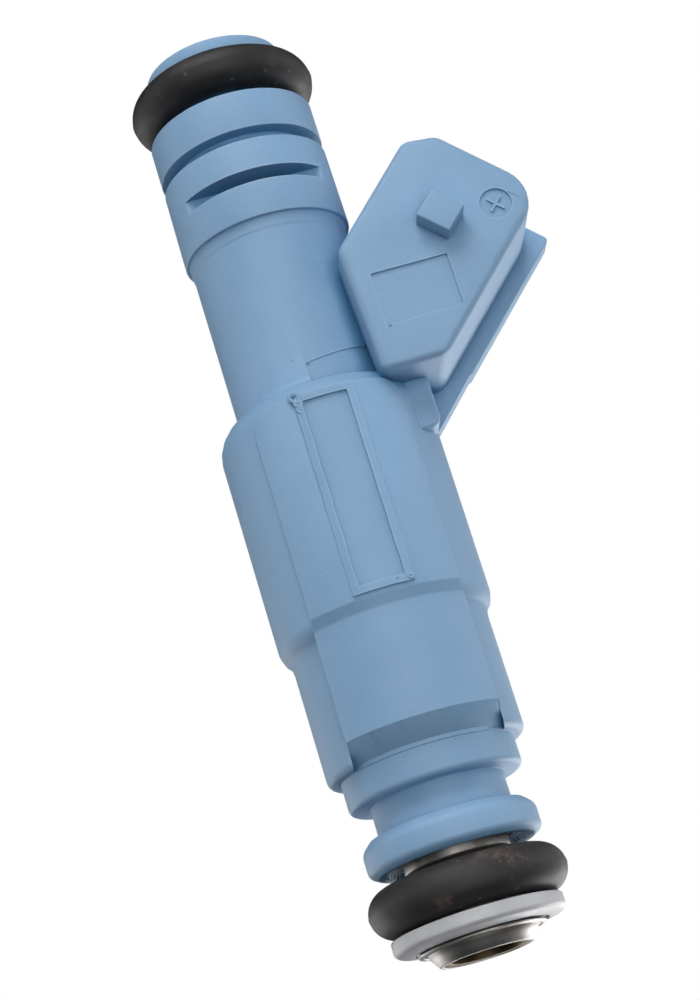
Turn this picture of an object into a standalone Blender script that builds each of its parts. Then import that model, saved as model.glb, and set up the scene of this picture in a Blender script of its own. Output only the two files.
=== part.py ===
"""Top-feed electromagnetic fuel injector: moulded body with an oblique two-pin connector.

The axis is +Z with the inlet on top. The origin is the centre of the lower seal ring.
The connector points to +X and up, and the front face looks to -Y.
Sizes below are millimetres; MM turns them into Blender's metres.
"""

import math

import bmesh
import bpy
from mathutils import Matrix, Vector

MM = 0.001
SEGMENTS = 48
SMALL_SEGMENTS = 24
MERGE = 1e-6
SQRT_2 = math.sqrt(2)

# Clearances
SEAT_GAP = 0.3  # between pieces that are pressed, welded or moulded together
SEAL_GAP = 0.2  # between a seal ring and the groove that it is stretched over
SLIDE_GAP = 0.35  # round the armature, and round the spring in its pocket
VALVE_LIFT = 0.1  # travel of the armature, needle tube and ball
AIR_GAP = SEAT_GAP + VALVE_LIFT  # between the armature and the core at rest
OVERLAP = 0.1  # shapes that are joined, or cutters, run this far past a face

# Seal rings
SEAL_RADIUS = 7.3
SEAL_SECTION = 1.75
SEAL_SEAT_RADIUS = SEAL_RADIUS - 2 * SEAL_SECTION - SEAL_GAP

# Overall lengths along the axis
SEAL_SPACING = 64.75  # from the lower seal ring's centre to the upper one's
TIP_DEPTH = 4.55  # outlet end below the lower seal ring's centre
LIP_THICKNESS = 0.75  # top lip above the upper seal ring
INLET_Z = SEAL_SPACING + SEAL_SECTION + SEAL_GAP + LIP_THICKNESS
TIP_Z = -TIP_DEPTH

# Inlet sleeve of the moulding
LIP_RADIUS = 5.4
SEAL_GROOVE_LENGTH = 4.8
LAND_RADIUS = 6.47
EDGE = 0.2  # chamfer on the sleeve's and the pads' sharp edges
FIRST_LAND_LENGTH = 3.2
RELIEF_GROOVE_WIDTH = 0.95
RELIEF_GROOVE_DEPTH = 1.2
SECOND_LAND_LENGTH = 2.5
CLIP_SLOT_WIDTH = 1.05
CLIP_SLOT_FLOOR = 3.75  # distance of the flat slot floors from the axis
THIRD_LAND_LENGTH = 2.8
STEP_RADIUS = 6.22
STEP_LENGTH = 0.95
SLEEVE_RADIUS = 6.1
SLEEVE_WALL = 0.55  # least wall, under the seal ring

# Body of the moulding round the coil
BODY_TOP_Z = 37.75
BODY_RADIUS = 8.06
BODY_WALL = 1.06  # outside the yoke
SHOULDER_ROUND = 2.4
BODY_STEP_Z = 19.4
BODY_STEP = 0.71
LOWER_RADIUS = BODY_RADIUS - BODY_STEP
BODY_BOTTOM_Z = 9.7
BOTTOM_ROUND = 0.85

# Flat-sided pads on the front and back of the body
PAD_HALF_WIDTH = 5.5
PAD_TOP_Z = 36.2
PAD_RADIUS = BODY_RADIUS + 0.35
PAD_LOWER_RADIUS = LOWER_RADIUS + 0.65
PAD_STEP_Z = 20.15
PAD_STEP_DROP = 0.55
PAD_CHAMFER = 1.5
PAD_FOOT = 0.3  # above the body's lower end
PAD_WALL = 1.0  # depth that the pads are sunk into the body

# Nose of the moulding
COLLAR_RADIUS = 6.43
COLLAR_LENGTH = 2.25
COLLAR_ROUND = 0.55
NECK_WALL = 0.73
FLANGE_RADIUS = 6.42
FLANGE_TOP_Z = 5.2
FLANGE_ROUND = 0.9
FLANGE_EDGE_Z = 2.85
FLANGE_FACE_Z = 2.3

# Connector shroud: its axis leans out from the injector's axis, in the XZ plane
CONNECTOR_LEAN = math.radians(45)
CONNECTOR_HALF_WIDTH = 8.6  # along Y
MOUTH_ALONG = 47.2  # distance of the mouth from the origin, along the connector's axis
CONNECTOR_UPPER = -29.8  # offset of the upper face across the connector's axis
CONNECTOR_DEPTH = 10.9
CONNECTOR_LOWER = CONNECTOR_UPPER + CONNECTOR_DEPTH
CONNECTOR_MIDDLE = CONNECTOR_UPPER + CONNECTOR_DEPTH / 2
MOUTH_BEVEL_ALONG = 1.6
MOUTH_BEVEL_ACROSS = 2.0
ROOT_X = 4.05  # inner side of the shroud's root, beside the sleeve
ROOT_DRAFT = 0.5
ROOT_Z = 36.1  # underside of the shroud's root
SOCKET_WALL = 1.35
SOCKET_SIDE_WALL = 1.5
SOCKET_DEPTH = 11.0
RIB_HEIGHT = 1.05
RIB_HALF_WIDTH = 1.0
RIB_BURIED = 0.55
LUG_HEIGHT = 1.7
LUG_ALONG = 41.2
LUG_LENGTH = 2.4
LUG_WIDTH = 2.7
LUG_BURIED = 0.5
FOOT_INSET = 0.1  # of the shroud's foot behind the body's surface
FOOT_HALF_WIDTH = 4.7
FOOT_Z = 32.3
FOOT_BURIED = 1.0

# Terminal blades
BLADE_PITCH = 5.0
BLADE_THICKNESS = 0.8
BLADE_WIDTH = 2.8
BLADE_POINT = 0.6  # chamfer at the tip
BLADE_TAIL_WIDTH = 1.4
BLADE_RECESS = 3.8  # tips behind the mouth
BLADE_SHOULDER = 0.5  # behind the socket's floor
BLADE_TAIL_X = 5.4

# Inlet tube, which is also the magnet core
TUBE_RADIUS = SEAL_SEAT_RADIUS - SLEEVE_WALL - SEAT_GAP
TUBE_INLET_WALL = 0.45
TUBE_WALL = 1.0
TUBE_INLET_BORE = TUBE_RADIUS - TUBE_INLET_WALL
TUBE_BORE = TUBE_RADIUS - TUBE_WALL
TUBE_TOP_Z = INLET_Z - SEAT_GAP
CORE_Z = 24.5

# Inlet strainer
FILTER_DEPTH = 13.5
FILTER_COLLAR_LENGTH = 2.3
FILTER_COLLAR_WALL = 0.5
FILTER_COLLAR_RADIUS = TUBE_INLET_BORE - SEAT_GAP
FILTER_RING_LENGTH = 1.1
FILTER_RADIUS = TUBE_INLET_BORE - SEAT_GAP
FILTER_BASE = 0.8
FILTER_RIBS = 3
FILTER_RIB = 0.4
FILTER_RIB_INSET = 0.03
MESH_RADIUS = FILTER_RADIUS - FILTER_RIB - SEAT_GAP
MESH_WALL = 0.2
MESH_OVERLAP = 0.7  # of the mesh inside the frame's ring
FILTER_TOP_Z = TUBE_TOP_Z - FILTER_COLLAR_LENGTH - SEAT_GAP
FILTER_BASE_Z = FILTER_TOP_Z - FILTER_DEPTH
TUBE_BORE_STEP_Z = FILTER_BASE_Z - FILTER_BASE - SEAT_GAP

# Closing spring and the sleeve that loads it
ADJUSTER_TOP_Z = 36.0
ADJUSTER_BOTTOM_Z = 30.0
ADJUSTER_RADIUS = TUBE_BORE - SEAT_GAP
ADJUSTER_WALL = 0.4
ADJUSTER_SLOT = 0.5
SPRING_WIRE = 0.2  # radius of the wire
SPRING_RADIUS = 1.1  # to the middle of the wire
SPRING_TURNS = 7
SPRING_END_TURN = 0.6  # rise of the closed turn at each end
SPRING_STEPS = 12  # points on each turn

# Valve carrier, the tube under the lower seal ring
CARRIER_THIN_RADIUS = SEAL_SEAT_RADIUS
CARRIER_STEP = 0.3
CARRIER_RADIUS = CARRIER_THIN_RADIUS + CARRIER_STEP
CARRIER_TOP_Z = 22.3
CARRIER_STEP_Z = 19.0
CARRIER_WALL = 0.55
ARMATURE_BORE = CARRIER_THIN_RADIUS - CARRIER_WALL
ARMATURE_BORE_Z = 14.5
NEEDLE_BORE = 2.3
SEAL_SEAT_TOP_Z = 1.95
TIP_WALL = 0.45
SEAT_BORE = CARRIER_THIN_RADIUS - TIP_WALL
LIP_Z = TIP_Z + 1.15
TIP_LIP_RADIUS = CARRIER_THIN_RADIUS + 1.1
TIP_LIP_EDGE = 0.15
TIP_LIP_DROP = 0.25
TIP_CONE_TOP = CARRIER_THIN_RADIUS + 0.4
TIP_CONE_END = CARRIER_THIN_RADIUS - 0.2
RING_LENGTH = 4.4  # non-magnetic ring over the joint between core and carrier

# Coil and yoke
COIL_TOP_Z = 33.5
COIL_BOTTOM_Z = 20.7
COIL_GAP = 0.25  # inside the yoke, round the carrier, and between the winding's and the flanges' edges
YOKE_RADIUS = BODY_RADIUS - BODY_WALL - SEAT_GAP
YOKE_WALL = 0.7
YOKE_FLANGE = 0.85
YOKE_HALF_WIDTH = 3.6
YOKE_START = 1.0  # distance of each strap's cut edge from the XZ plane
BOBBIN_FLANGE_RADIUS = YOKE_RADIUS - YOKE_WALL - COIL_GAP
BOBBIN_FLANGE = 0.8
BOBBIN_BORE = CARRIER_THIN_RADIUS + COIL_GAP
BOBBIN_WALL = 0.35
WINDING_RADIUS = BOBBIN_FLANGE_RADIUS - COIL_GAP
LEAD_RADIUS = 0.22
LEAD_INSET = 0.48  # of a lead's middle inside the winding's surface
LEAD_BURIED = 1.0

# Moving valve
ARMATURE_RADIUS = ARMATURE_BORE - SLIDE_GAP
ARMATURE_BOTTOM_Z = 16.0
SPRING_POCKET = SPRING_RADIUS + SPRING_WIRE + SLIDE_GAP
NEEDLE_RADIUS = 1.1
NEEDLE_WALL = 0.35
NEEDLE_TOP_Z = 20.2
CROSS_HOLE_RADIUS = 0.4
CROSS_HOLE_Z = 4.5
BALL_RADIUS = 1.75
BALL_FLATS = 5
BALL_FLAT_DEPTH = 0.15

# Seat and spray plate, built up from the tip: the ball rests on the seat's cone
PLATE_THICKNESS = 0.3
PLATE_RECESS = 0.65  # behind the tip
PLATE_RIM = 0.3
PLATE_RIM_RECESS = 0.1
PLATE_BOTTOM_Z = TIP_Z + PLATE_RECESS
PLATE_TOP_Z = PLATE_BOTTOM_Z + PLATE_THICKNESS
SPRAY_HOLES = 4
SPRAY_HOLE_RADIUS = 0.13
SPRAY_PITCH_RADIUS = 0.4
SEAT_OUTER = SEAT_BORE - SEAT_GAP
SEAT_BOTTOM_Z = PLATE_TOP_Z + SEAT_GAP
SEAT_OUTLET = 0.7
SEAT_OUTLET_LENGTH = 0.5
CONE_BOTTOM_Z = SEAT_BOTTOM_Z + SEAT_OUTLET_LENGTH
GUIDE_BORE = BALL_RADIUS + SEAT_GAP
BALL_Z = CONE_BOTTOM_Z - SEAT_OUTLET + SQRT_2 * GUIDE_BORE
GUIDE_LENGTH = 1.2  # above the ball's centre
SEAT_TOP_Z = BALL_Z + GUIDE_LENGTH
SEAT_BORE_Z = SEAT_TOP_Z + SEAT_GAP

# Washer that holds the lower seal ring
CAP_RADIUS = 6.29
CAP_BORE = CARRIER_THIN_RADIUS + SEAT_GAP
CAP_EDGE = 0.1
CAP_RIM_Z = LIP_Z + 0.55
CAP_UNDERSIDE_Z = LIP_Z + 0.32
CAP_UNDERSIDE_INSET = 0.25
CAP_HUB_RADIUS = TIP_LIP_RADIUS + 0.2
CAP_HUB_Z = LIP_Z + 0.08


def arc(centre_r, centre_z, radius, start, end, steps=5):
    """Points of an arc in a profile, with its angles in degrees from the outward direction."""
    points = []
    for i in range(steps + 1):
        angle = math.radians(start + (end - start) * i / steps)
        points.append((centre_r + radius * math.cos(angle), centre_z + radius * math.sin(angle)))
    return points


def connector_point(along, across):
    """(x, z) of a point given along and across the connector's axis."""
    c = math.cos(CONNECTOR_LEAN)
    s = math.sin(CONNECTOR_LEAN)
    return (along * s + across * c, along * c - across * s)


def make_collection(name):
    collection = bpy.data.collections.new(name)
    bpy.context.scene.collection.children.link(collection)
    return collection


def make_material(name, colour, roughness, metallic=0.0):
    material = bpy.data.materials.new(name)
    material.use_nodes = True
    shader = material.node_tree.nodes["Principled BSDF"]
    shader.inputs["Base Color"].default_value = (*colour, 1.0)
    shader.inputs["Roughness"].default_value = roughness
    shader.inputs["Metallic"].default_value = metallic
    return material


def add_object(name, mesh, material=None):
    """Puts a mesh in the scene, as a part when it has a material and as a cutter otherwise."""
    obj = bpy.data.objects.new(name, mesh)
    if material:
        mesh.materials.append(material)
        parts.objects.link(obj)
    else:
        obj.hide_render = True
        obj.display_type = "WIRE"
        helpers.objects.link(obj)
    return obj


def turned(name, profile, material=None, closed=True, segments=SEGMENTS):
    """A turned piece. The profile is (radius, z) points, down the outer side first."""
    mesh = bpy.data.meshes.new(name)
    points = [(r * MM, 0.0, z * MM) for r, z in profile]
    edges = [(i, i + 1) for i in range(len(points) - 1)]
    if closed:
        edges.append((len(points) - 1, 0))
    mesh.from_pydata(points, edges, [])
    obj = add_object(name, mesh, material)
    screw = obj.modifiers.new("Turn", "SCREW")
    screw.steps = segments
    screw.render_steps = segments
    screw.use_merge_vertices = True
    screw.merge_threshold = MERGE
    screw.use_smooth_shade = True
    return obj


def tube(name, outer, inner, top, bottom, material=None, segments=SEGMENTS):
    profile = [(outer, top), (outer, bottom), (inner, bottom), (inner, top)]
    return turned(name, profile, material, segments=segments)


def box(name, low, high, material=None):
    """A block between two corners given in millimetres."""
    built = bmesh.new()
    bmesh.ops.create_cube(built, size=1.0)
    size = [(b - a) * MM for a, b in zip(low, high)]
    middle = [(a + b) / 2 * MM for a, b in zip(low, high)]
    bmesh.ops.scale(built, vec=size, verts=built.verts)
    bmesh.ops.translate(built, vec=middle, verts=built.verts)
    mesh = bpy.data.meshes.new(name)
    built.to_mesh(mesh)
    built.free()
    return add_object(name, mesh, material)


def rod(name, centre, direction, radius, length, material=None, sides=12):
    """A plain cylinder centred on a point, along a direction."""
    built = bmesh.new()
    turn = Vector((0, 0, 1)).rotation_difference(Vector(direction)).to_matrix().to_4x4()
    place = Matrix.Translation(Vector(centre) * MM) @ turn
    bmesh.ops.create_cone(
        built, cap_ends=True, segments=sides, radius1=radius * MM, radius2=radius * MM,
        depth=length * MM, matrix=place,
    )
    mesh = bpy.data.meshes.new(name)
    built.to_mesh(mesh)
    built.free()
    return add_object(name, mesh, material)


def plate(name, outline, low_y, high_y, material=None):
    """A flat piece cut from an outline of (x, z) points, between two heights along Y."""
    curve = bpy.data.curves.new(name, "CURVE")
    curve.dimensions = "2D"
    curve.fill_mode = "BOTH"
    curve.extrude = (high_y - low_y) / 2 * MM
    spline = curve.splines.new("POLY")
    spline.points.add(len(outline) - 1)
    for point, (x, z) in zip(spline.points, outline):
        point.co = (x * MM, z * MM, 0.0, 1.0)
    spline.use_cyclic_u = True
    guide = bpy.data.objects.new(name + "_outline", curve)
    helpers.objects.link(guide)
    middle = (low_y + high_y) / 2 * MM
    guide.matrix_world = Matrix.Translation((0, middle, 0)) @ Matrix.Rotation(math.pi / 2, 4, "X")
    bpy.context.view_layer.update()
    graph = bpy.context.evaluated_depsgraph_get()
    mesh = bpy.data.meshes.new_from_object(guide.evaluated_get(graph))
    mesh.transform(guide.matrix_world)
    bpy.data.objects.remove(guide)
    built = bmesh.new()
    built.from_mesh(mesh)
    bmesh.ops.remove_doubles(built, verts=built.verts, dist=MERGE)
    bmesh.ops.recalc_face_normals(built, faces=built.faces)
    built.to_mesh(mesh)
    built.free()
    mesh.name = name
    return add_object(name, mesh, material)


def combine(obj, other, operation):
    boolean = obj.modifiers.new(other.name, "BOOLEAN")
    boolean.operation = operation
    boolean.object = other


def make_housing():
    """The moulded body, its sleeve, nose and connector shroud, with the space for the coil."""
    lip_bottom = INLET_Z - LIP_THICKNESS
    land_1 = lip_bottom - SEAL_GROOVE_LENGTH
    relief = land_1 - FIRST_LAND_LENGTH
    land_2 = relief - RELIEF_GROOVE_WIDTH
    slot_top = land_2 - SECOND_LAND_LENGTH
    slot_bottom = slot_top - CLIP_SLOT_WIDTH
    land_end = slot_bottom - THIRD_LAND_LENGTH
    collar_bottom = BODY_BOTTOM_Z - COLLAR_LENGTH
    cavity_top = COIL_TOP_Z + SEAT_GAP + YOKE_FLANGE + SEAT_GAP
    cavity_bottom = COIL_BOTTOM_Z - SEAT_GAP - YOKE_FLANGE - SEAT_GAP
    cavity_radius = YOKE_RADIUS + SEAT_GAP
    sleeve_bore = TUBE_RADIUS + SEAT_GAP
    nose_bore = CARRIER_RADIUS + SEAT_GAP
    neck = nose_bore + NECK_WALL
    profile = [
        (LIP_RADIUS - EDGE, INLET_Z),
        (LIP_RADIUS, INLET_Z - EDGE),
        (LIP_RADIUS, lip_bottom),
        (SEAL_SEAT_RADIUS, lip_bottom),
        (SEAL_SEAT_RADIUS, land_1),
        (LAND_RADIUS - EDGE, land_1),
        (LAND_RADIUS, land_1 - EDGE),
        (LAND_RADIUS, relief),
        (LAND_RADIUS - RELIEF_GROOVE_DEPTH, relief),
        (LAND_RADIUS - RELIEF_GROOVE_DEPTH, land_2),
        (LAND_RADIUS, land_2),
        (LAND_RADIUS, land_end),
        (STEP_RADIUS, land_end),
        (STEP_RADIUS, land_end - STEP_LENGTH),
        (SLEEVE_RADIUS, land_end - STEP_LENGTH),
    ]
    shoulder_r = BODY_RADIUS - SHOULDER_ROUND
    shoulder_z = BODY_TOP_Z - SHOULDER_ROUND
    start = math.degrees(math.acos((SLEEVE_RADIUS - shoulder_r) / SHOULDER_ROUND))
    profile += arc(shoulder_r, shoulder_z, SHOULDER_ROUND, start, 0)
    profile += arc(LOWER_RADIUS, BODY_STEP_Z + BODY_STEP, BODY_STEP, 0, -90)
    profile += arc(LOWER_RADIUS - BOTTOM_ROUND, BODY_BOTTOM_Z + BOTTOM_ROUND, BOTTOM_ROUND, 0, -90)
    profile += [(COLLAR_RADIUS, BODY_BOTTOM_Z)]
    profile += arc(COLLAR_RADIUS - COLLAR_ROUND, collar_bottom + COLLAR_ROUND, COLLAR_ROUND, 0, -90)
    profile += [(neck, collar_bottom), (neck, FLANGE_TOP_Z)]
    profile += arc(FLANGE_RADIUS - FLANGE_ROUND, FLANGE_TOP_Z - FLANGE_ROUND, FLANGE_ROUND, 90, 0)
    profile += [
        (FLANGE_RADIUS, FLANGE_EDGE_Z),
        (neck, FLANGE_FACE_Z),
        (nose_bore, FLANGE_FACE_Z),
        (nose_bore, cavity_bottom),
        (cavity_radius, cavity_bottom),
        (cavity_radius, cavity_top),
        (sleeve_bore, cavity_top),
        (sleeve_bore, INLET_Z),
    ]
    housing = turned("housing_overmould", profile, blue_nylon)
    add_pads(housing)
    add_shroud(housing)
    for side in (-1, 1):
        reach = sorted((side * CLIP_SLOT_FLOOR, side * 2 * LAND_RADIUS))
        slot = box(
            f"clip_slot_{side}", (-2 * LAND_RADIUS, reach[0], slot_bottom),
            (2 * LAND_RADIUS, reach[1], slot_top),
        )
        combine(housing, slot, "DIFFERENCE")
    return housing


def add_pads(housing):
    """The thicker front and back of the body, each with a step and a chamfered foot."""
    step_end = PAD_STEP_Z - PAD_STEP_DROP
    foot = BODY_BOTTOM_Z + PAD_FOOT
    upper_inner = PAD_RADIUS - PAD_WALL
    lower_inner = LOWER_RADIUS - PAD_WALL
    profile = [
        (PAD_RADIUS - EDGE, PAD_TOP_Z),
        (PAD_RADIUS, PAD_TOP_Z - EDGE),
        (PAD_RADIUS, PAD_STEP_Z),
        (PAD_LOWER_RADIUS, step_end),
        (PAD_LOWER_RADIUS, foot + PAD_CHAMFER),
        (PAD_LOWER_RADIUS - PAD_CHAMFER, foot),
        (lower_inner, foot),
        (lower_inner, BODY_STEP_Z - PAD_WALL),
        (upper_inner, BODY_STEP_Z),
        (upper_inner, PAD_TOP_Z),
    ]
    pads = turned("pads", profile)
    middle = box(
        "pad_width", (-PAD_HALF_WIDTH, -2 * PAD_RADIUS, BODY_BOTTOM_Z - PAD_WALL),
        (PAD_HALF_WIDTH, 2 * PAD_RADIUS, BODY_TOP_Z + PAD_WALL),
    )
    combine(pads, middle, "INTERSECT")
    combine(housing, pads, "UNION")


def shroud_outline():
    """The shroud's side view: mouth at the upper right, root beside the sleeve."""
    upper_root = (ROOT_X, ROOT_X - CONNECTOR_UPPER * SQRT_2)
    lower_root = (ROOT_Z + CONNECTOR_LOWER * SQRT_2, ROOT_Z)
    return [
        upper_root,
        (ROOT_X + ROOT_DRAFT, ROOT_Z),
        lower_root,
        connector_point(MOUTH_ALONG, CONNECTOR_LOWER),
        connector_point(MOUTH_ALONG, CONNECTOR_UPPER + MOUTH_BEVEL_ACROSS),
        connector_point(MOUTH_ALONG - MOUTH_BEVEL_ALONG, CONNECTOR_UPPER),
    ]


def add_shroud(housing):
    """The oblique connector shroud with its rib, foot, latch lugs, socket and pin channels."""
    block = plate("shroud", shroud_outline(), -CONNECTOR_HALF_WIDTH, CONNECTOR_HALF_WIDTH)
    combine(housing, block, "UNION")

    edge = CONNECTOR_LOWER + RIB_HEIGHT
    inside = CONNECTOR_LOWER - RIB_HEIGHT
    buried_x = BODY_RADIUS - RIB_BURIED
    rib_outline = [
        connector_point(MOUTH_ALONG, inside),
        connector_point(MOUTH_ALONG - SOCKET_DEPTH, inside),
        (buried_x, BODY_TOP_Z - 2 * RIB_BURIED),
        (buried_x, buried_x - edge * SQRT_2),
        connector_point(MOUTH_ALONG, edge),
    ]
    rib = plate("shroud_rib", rib_outline, -RIB_HALF_WIDTH, RIB_HALF_WIDTH)
    combine(housing, rib, "UNION")

    foot_inner = BODY_RADIUS - FOOT_BURIED
    foot_outer = BODY_RADIUS - FOOT_INSET
    root_inner = ROOT_X + ROOT_DRAFT
    foot_outline = [
        (foot_inner, FOOT_Z),
        (foot_outer, FOOT_Z),
        (foot_outer, ROOT_Z + FOOT_BURIED),
        (root_inner, ROOT_Z + FOOT_BURIED),
        (root_inner, ROOT_Z - ROOT_DRAFT),
        (foot_inner, ROOT_Z - ROOT_DRAFT),
    ]
    foot = plate("shroud_foot", foot_outline, -FOOT_HALF_WIDTH, FOOT_HALF_WIDTH)
    combine(housing, foot, "UNION")

    for side in (-1, 1):
        corners = [
            (LUG_ALONG - LUG_LENGTH / 2, CONNECTOR_MIDDLE - LUG_WIDTH / 2),
            (LUG_ALONG - LUG_LENGTH / 2, CONNECTOR_MIDDLE + LUG_WIDTH / 2),
            (LUG_ALONG + LUG_LENGTH / 2, CONNECTOR_MIDDLE + LUG_WIDTH / 2),
            (LUG_ALONG + LUG_LENGTH / 2, CONNECTOR_MIDDLE - LUG_WIDTH / 2),
        ]
        outline = [connector_point(along, across) for along, across in corners]
        inner = CONNECTOR_HALF_WIDTH - LUG_BURIED
        reach = sorted((side * inner, side * (CONNECTOR_HALF_WIDTH + LUG_HEIGHT)))
        lug = plate(f"latch_lug_{side}", outline, *reach)
        combine(housing, lug, "UNION")

    socket_corners = [
        (MOUTH_ALONG - SOCKET_DEPTH, CONNECTOR_UPPER + SOCKET_WALL),
        (MOUTH_ALONG - SOCKET_DEPTH, CONNECTOR_LOWER - SOCKET_WALL),
        (MOUTH_ALONG + SOCKET_DEPTH, CONNECTOR_LOWER - SOCKET_WALL),
        (MOUTH_ALONG + SOCKET_DEPTH, CONNECTOR_UPPER + SOCKET_WALL),
    ]
    socket_outline = [connector_point(along, across) for along, across in socket_corners]
    half = CONNECTOR_HALF_WIDTH - SOCKET_SIDE_WALL
    socket = plate("socket", socket_outline, -half, half)
    combine(housing, socket, "DIFFERENCE")

    for side in (-1, 1):
        centre = side * BLADE_PITCH / 2
        half = BLADE_THICKNESS / 2 + SEAT_GAP
        channel = plate(f"pin_channel_{side}", blade_outline(SEAT_GAP), centre - half, centre + half)
        combine(housing, channel, "DIFFERENCE")


def blade_outline(grow=0.0):
    """The side view of a terminal, from its tip in the socket down to the coil, or that grown all round."""
    middle = CONNECTOR_MIDDLE
    bend_along = BLADE_TAIL_X * SQRT_2 - middle
    tip = MOUTH_ALONG - BLADE_RECESS + grow
    shoulder = MOUTH_ALONG - SOCKET_DEPTH - BLADE_SHOULDER - grow
    wide = BLADE_WIDTH / 2 + grow
    thin = BLADE_TAIL_WIDTH / 2 + grow
    point = BLADE_POINT
    foot_z = COIL_TOP_Z + 2 * SEAT_GAP - grow
    bend_shift = thin * math.tan(CONNECTOR_LEAN / 2)
    bend_z = connector_point(bend_along, middle)[1]
    return [
        connector_point(tip - point, middle - wide),
        connector_point(shoulder, middle - wide),
        connector_point(shoulder, middle - thin),
        (BLADE_TAIL_X - thin, bend_z + bend_shift),
        (BLADE_TAIL_X - thin, foot_z),
        (BLADE_TAIL_X + thin, foot_z),
        (BLADE_TAIL_X + thin, bend_z - bend_shift),
        connector_point(shoulder, middle + thin),
        connector_point(shoulder, middle + wide),
        connector_point(tip - point, middle + wide),
        connector_point(tip, middle + wide - point),
        connector_point(tip, middle - wide + point),
    ]


def make_terminals():
    half = BLADE_THICKNESS / 2
    for side, name in ((-1, "terminal_blade_plus"), (1, "terminal_blade_minus")):
        centre = side * BLADE_PITCH / 2
        plate(name, blade_outline(), centre - half, centre + half, tinned_brass)


def make_seal(name, centre_z):
    """A rubber ring of round section, stretched over its groove."""
    middle = SEAL_RADIUS - SEAL_SECTION
    ring = arc(middle, centre_z, SEAL_SECTION, 90, -270, steps=12)[:-1]
    return turned(name, ring, rubber)


def make_inlet():
    """The inlet tube and the strainer pressed into its mouth."""
    turned("inlet_tube", [
        (TUBE_RADIUS, TUBE_TOP_Z),
        (TUBE_RADIUS, CORE_Z),
        (TUBE_BORE, CORE_Z),
        (TUBE_BORE, TUBE_BORE_STEP_Z),
        (TUBE_INLET_BORE, TUBE_BORE_STEP_Z),
        (TUBE_INLET_BORE, TUBE_TOP_Z),
    ], core_steel, segments=SMALL_SEGMENTS)
    tube("filter_collar", FILTER_COLLAR_RADIUS, FILTER_COLLAR_RADIUS - FILTER_COLLAR_WALL,
         TUBE_TOP_Z, TUBE_TOP_Z - FILTER_COLLAR_LENGTH, brass, SMALL_SEGMENTS)

    ring_bottom = FILTER_TOP_Z - FILTER_RING_LENGTH
    base_bottom = FILTER_BASE_Z - FILTER_BASE
    frame = tube("filter_frame", FILTER_RADIUS, FILTER_RADIUS - FILTER_RIB, FILTER_TOP_Z,
                 ring_bottom, filter_nylon, SMALL_SEGMENTS)
    base = turned("filter_base", [
        (0.0, FILTER_BASE_Z), (FILTER_RADIUS, FILTER_BASE_Z),
        (FILTER_RADIUS, base_bottom), (0.0, base_bottom),
    ], closed=False, segments=SMALL_SEGMENTS)
    combine(frame, base, "UNION")
    radius = FILTER_RADIUS - FILTER_RIB / 2 - FILTER_RIB_INSET
    middle = (FILTER_TOP_Z + base_bottom) / 2
    length = FILTER_TOP_Z - base_bottom - 2 * OVERLAP
    for i in range(FILTER_RIBS):
        angle = math.tau * i / FILTER_RIBS
        centre = (radius * math.cos(angle), radius * math.sin(angle), middle)
        rib = rod(f"filter_rib_{i}", centre, (0, 0, 1), FILTER_RIB / 2, length, sides=8)
        combine(frame, rib, "UNION")
    tube("filter_mesh", MESH_RADIUS, MESH_RADIUS - MESH_WALL, ring_bottom + MESH_OVERLAP,
         FILTER_BASE_Z + SEAT_GAP, mesh_wire, SMALL_SEGMENTS)


def spring_points():
    """The spring's centre line, with a closed turn at each end."""
    bottom = NEEDLE_TOP_Z + SEAT_GAP + SPRING_WIRE
    top = ADJUSTER_BOTTOM_Z - SEAT_GAP - SPRING_WIRE
    rise = (top - bottom - 2 * SPRING_END_TURN) / (SPRING_TURNS - 2)
    points = []
    for i in range(SPRING_TURNS * SPRING_STEPS + 1):
        turns = i / SPRING_STEPS
        angle = math.tau * turns
        if turns <= 1:
            height = bottom + SPRING_END_TURN * turns
        elif turns <= SPRING_TURNS - 1:
            height = bottom + SPRING_END_TURN + rise * (turns - 1)
        else:
            height = top - SPRING_END_TURN * (SPRING_TURNS - turns)
        points.append((SPRING_RADIUS * math.cos(angle), SPRING_RADIUS * math.sin(angle), height))
    return points


def make_wire(name, points, radius, material):
    curve = bpy.data.curves.new(name, "CURVE")
    curve.dimensions = "3D"
    curve.bevel_depth = radius * MM
    curve.bevel_resolution = 2
    curve.use_fill_caps = True
    spline = curve.splines.new("POLY")
    spline.points.add(len(points) - 1)
    for knot, (x, y, z) in zip(spline.points, points):
        knot.co = (x * MM, y * MM, z * MM, 1.0)
    curve.materials.append(material)
    obj = bpy.data.objects.new(name, curve)
    parts.objects.link(obj)
    return obj


def make_spring_and_adjuster():
    adjuster = tube("adjusting_sleeve", ADJUSTER_RADIUS, ADJUSTER_RADIUS - ADJUSTER_WALL,
                    ADJUSTER_TOP_Z, ADJUSTER_BOTTOM_Z, spring_steel, SMALL_SEGMENTS)
    slot = box(
        "adjuster_slot", (0.0, -ADJUSTER_SLOT / 2, ADJUSTER_BOTTOM_Z - OVERLAP),
        (2 * ADJUSTER_RADIUS, ADJUSTER_SLOT / 2, ADJUSTER_TOP_Z + OVERLAP),
    )
    combine(adjuster, slot, "DIFFERENCE")
    make_wire("return_spring", spring_points(), SPRING_WIRE, spring_steel)


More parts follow.
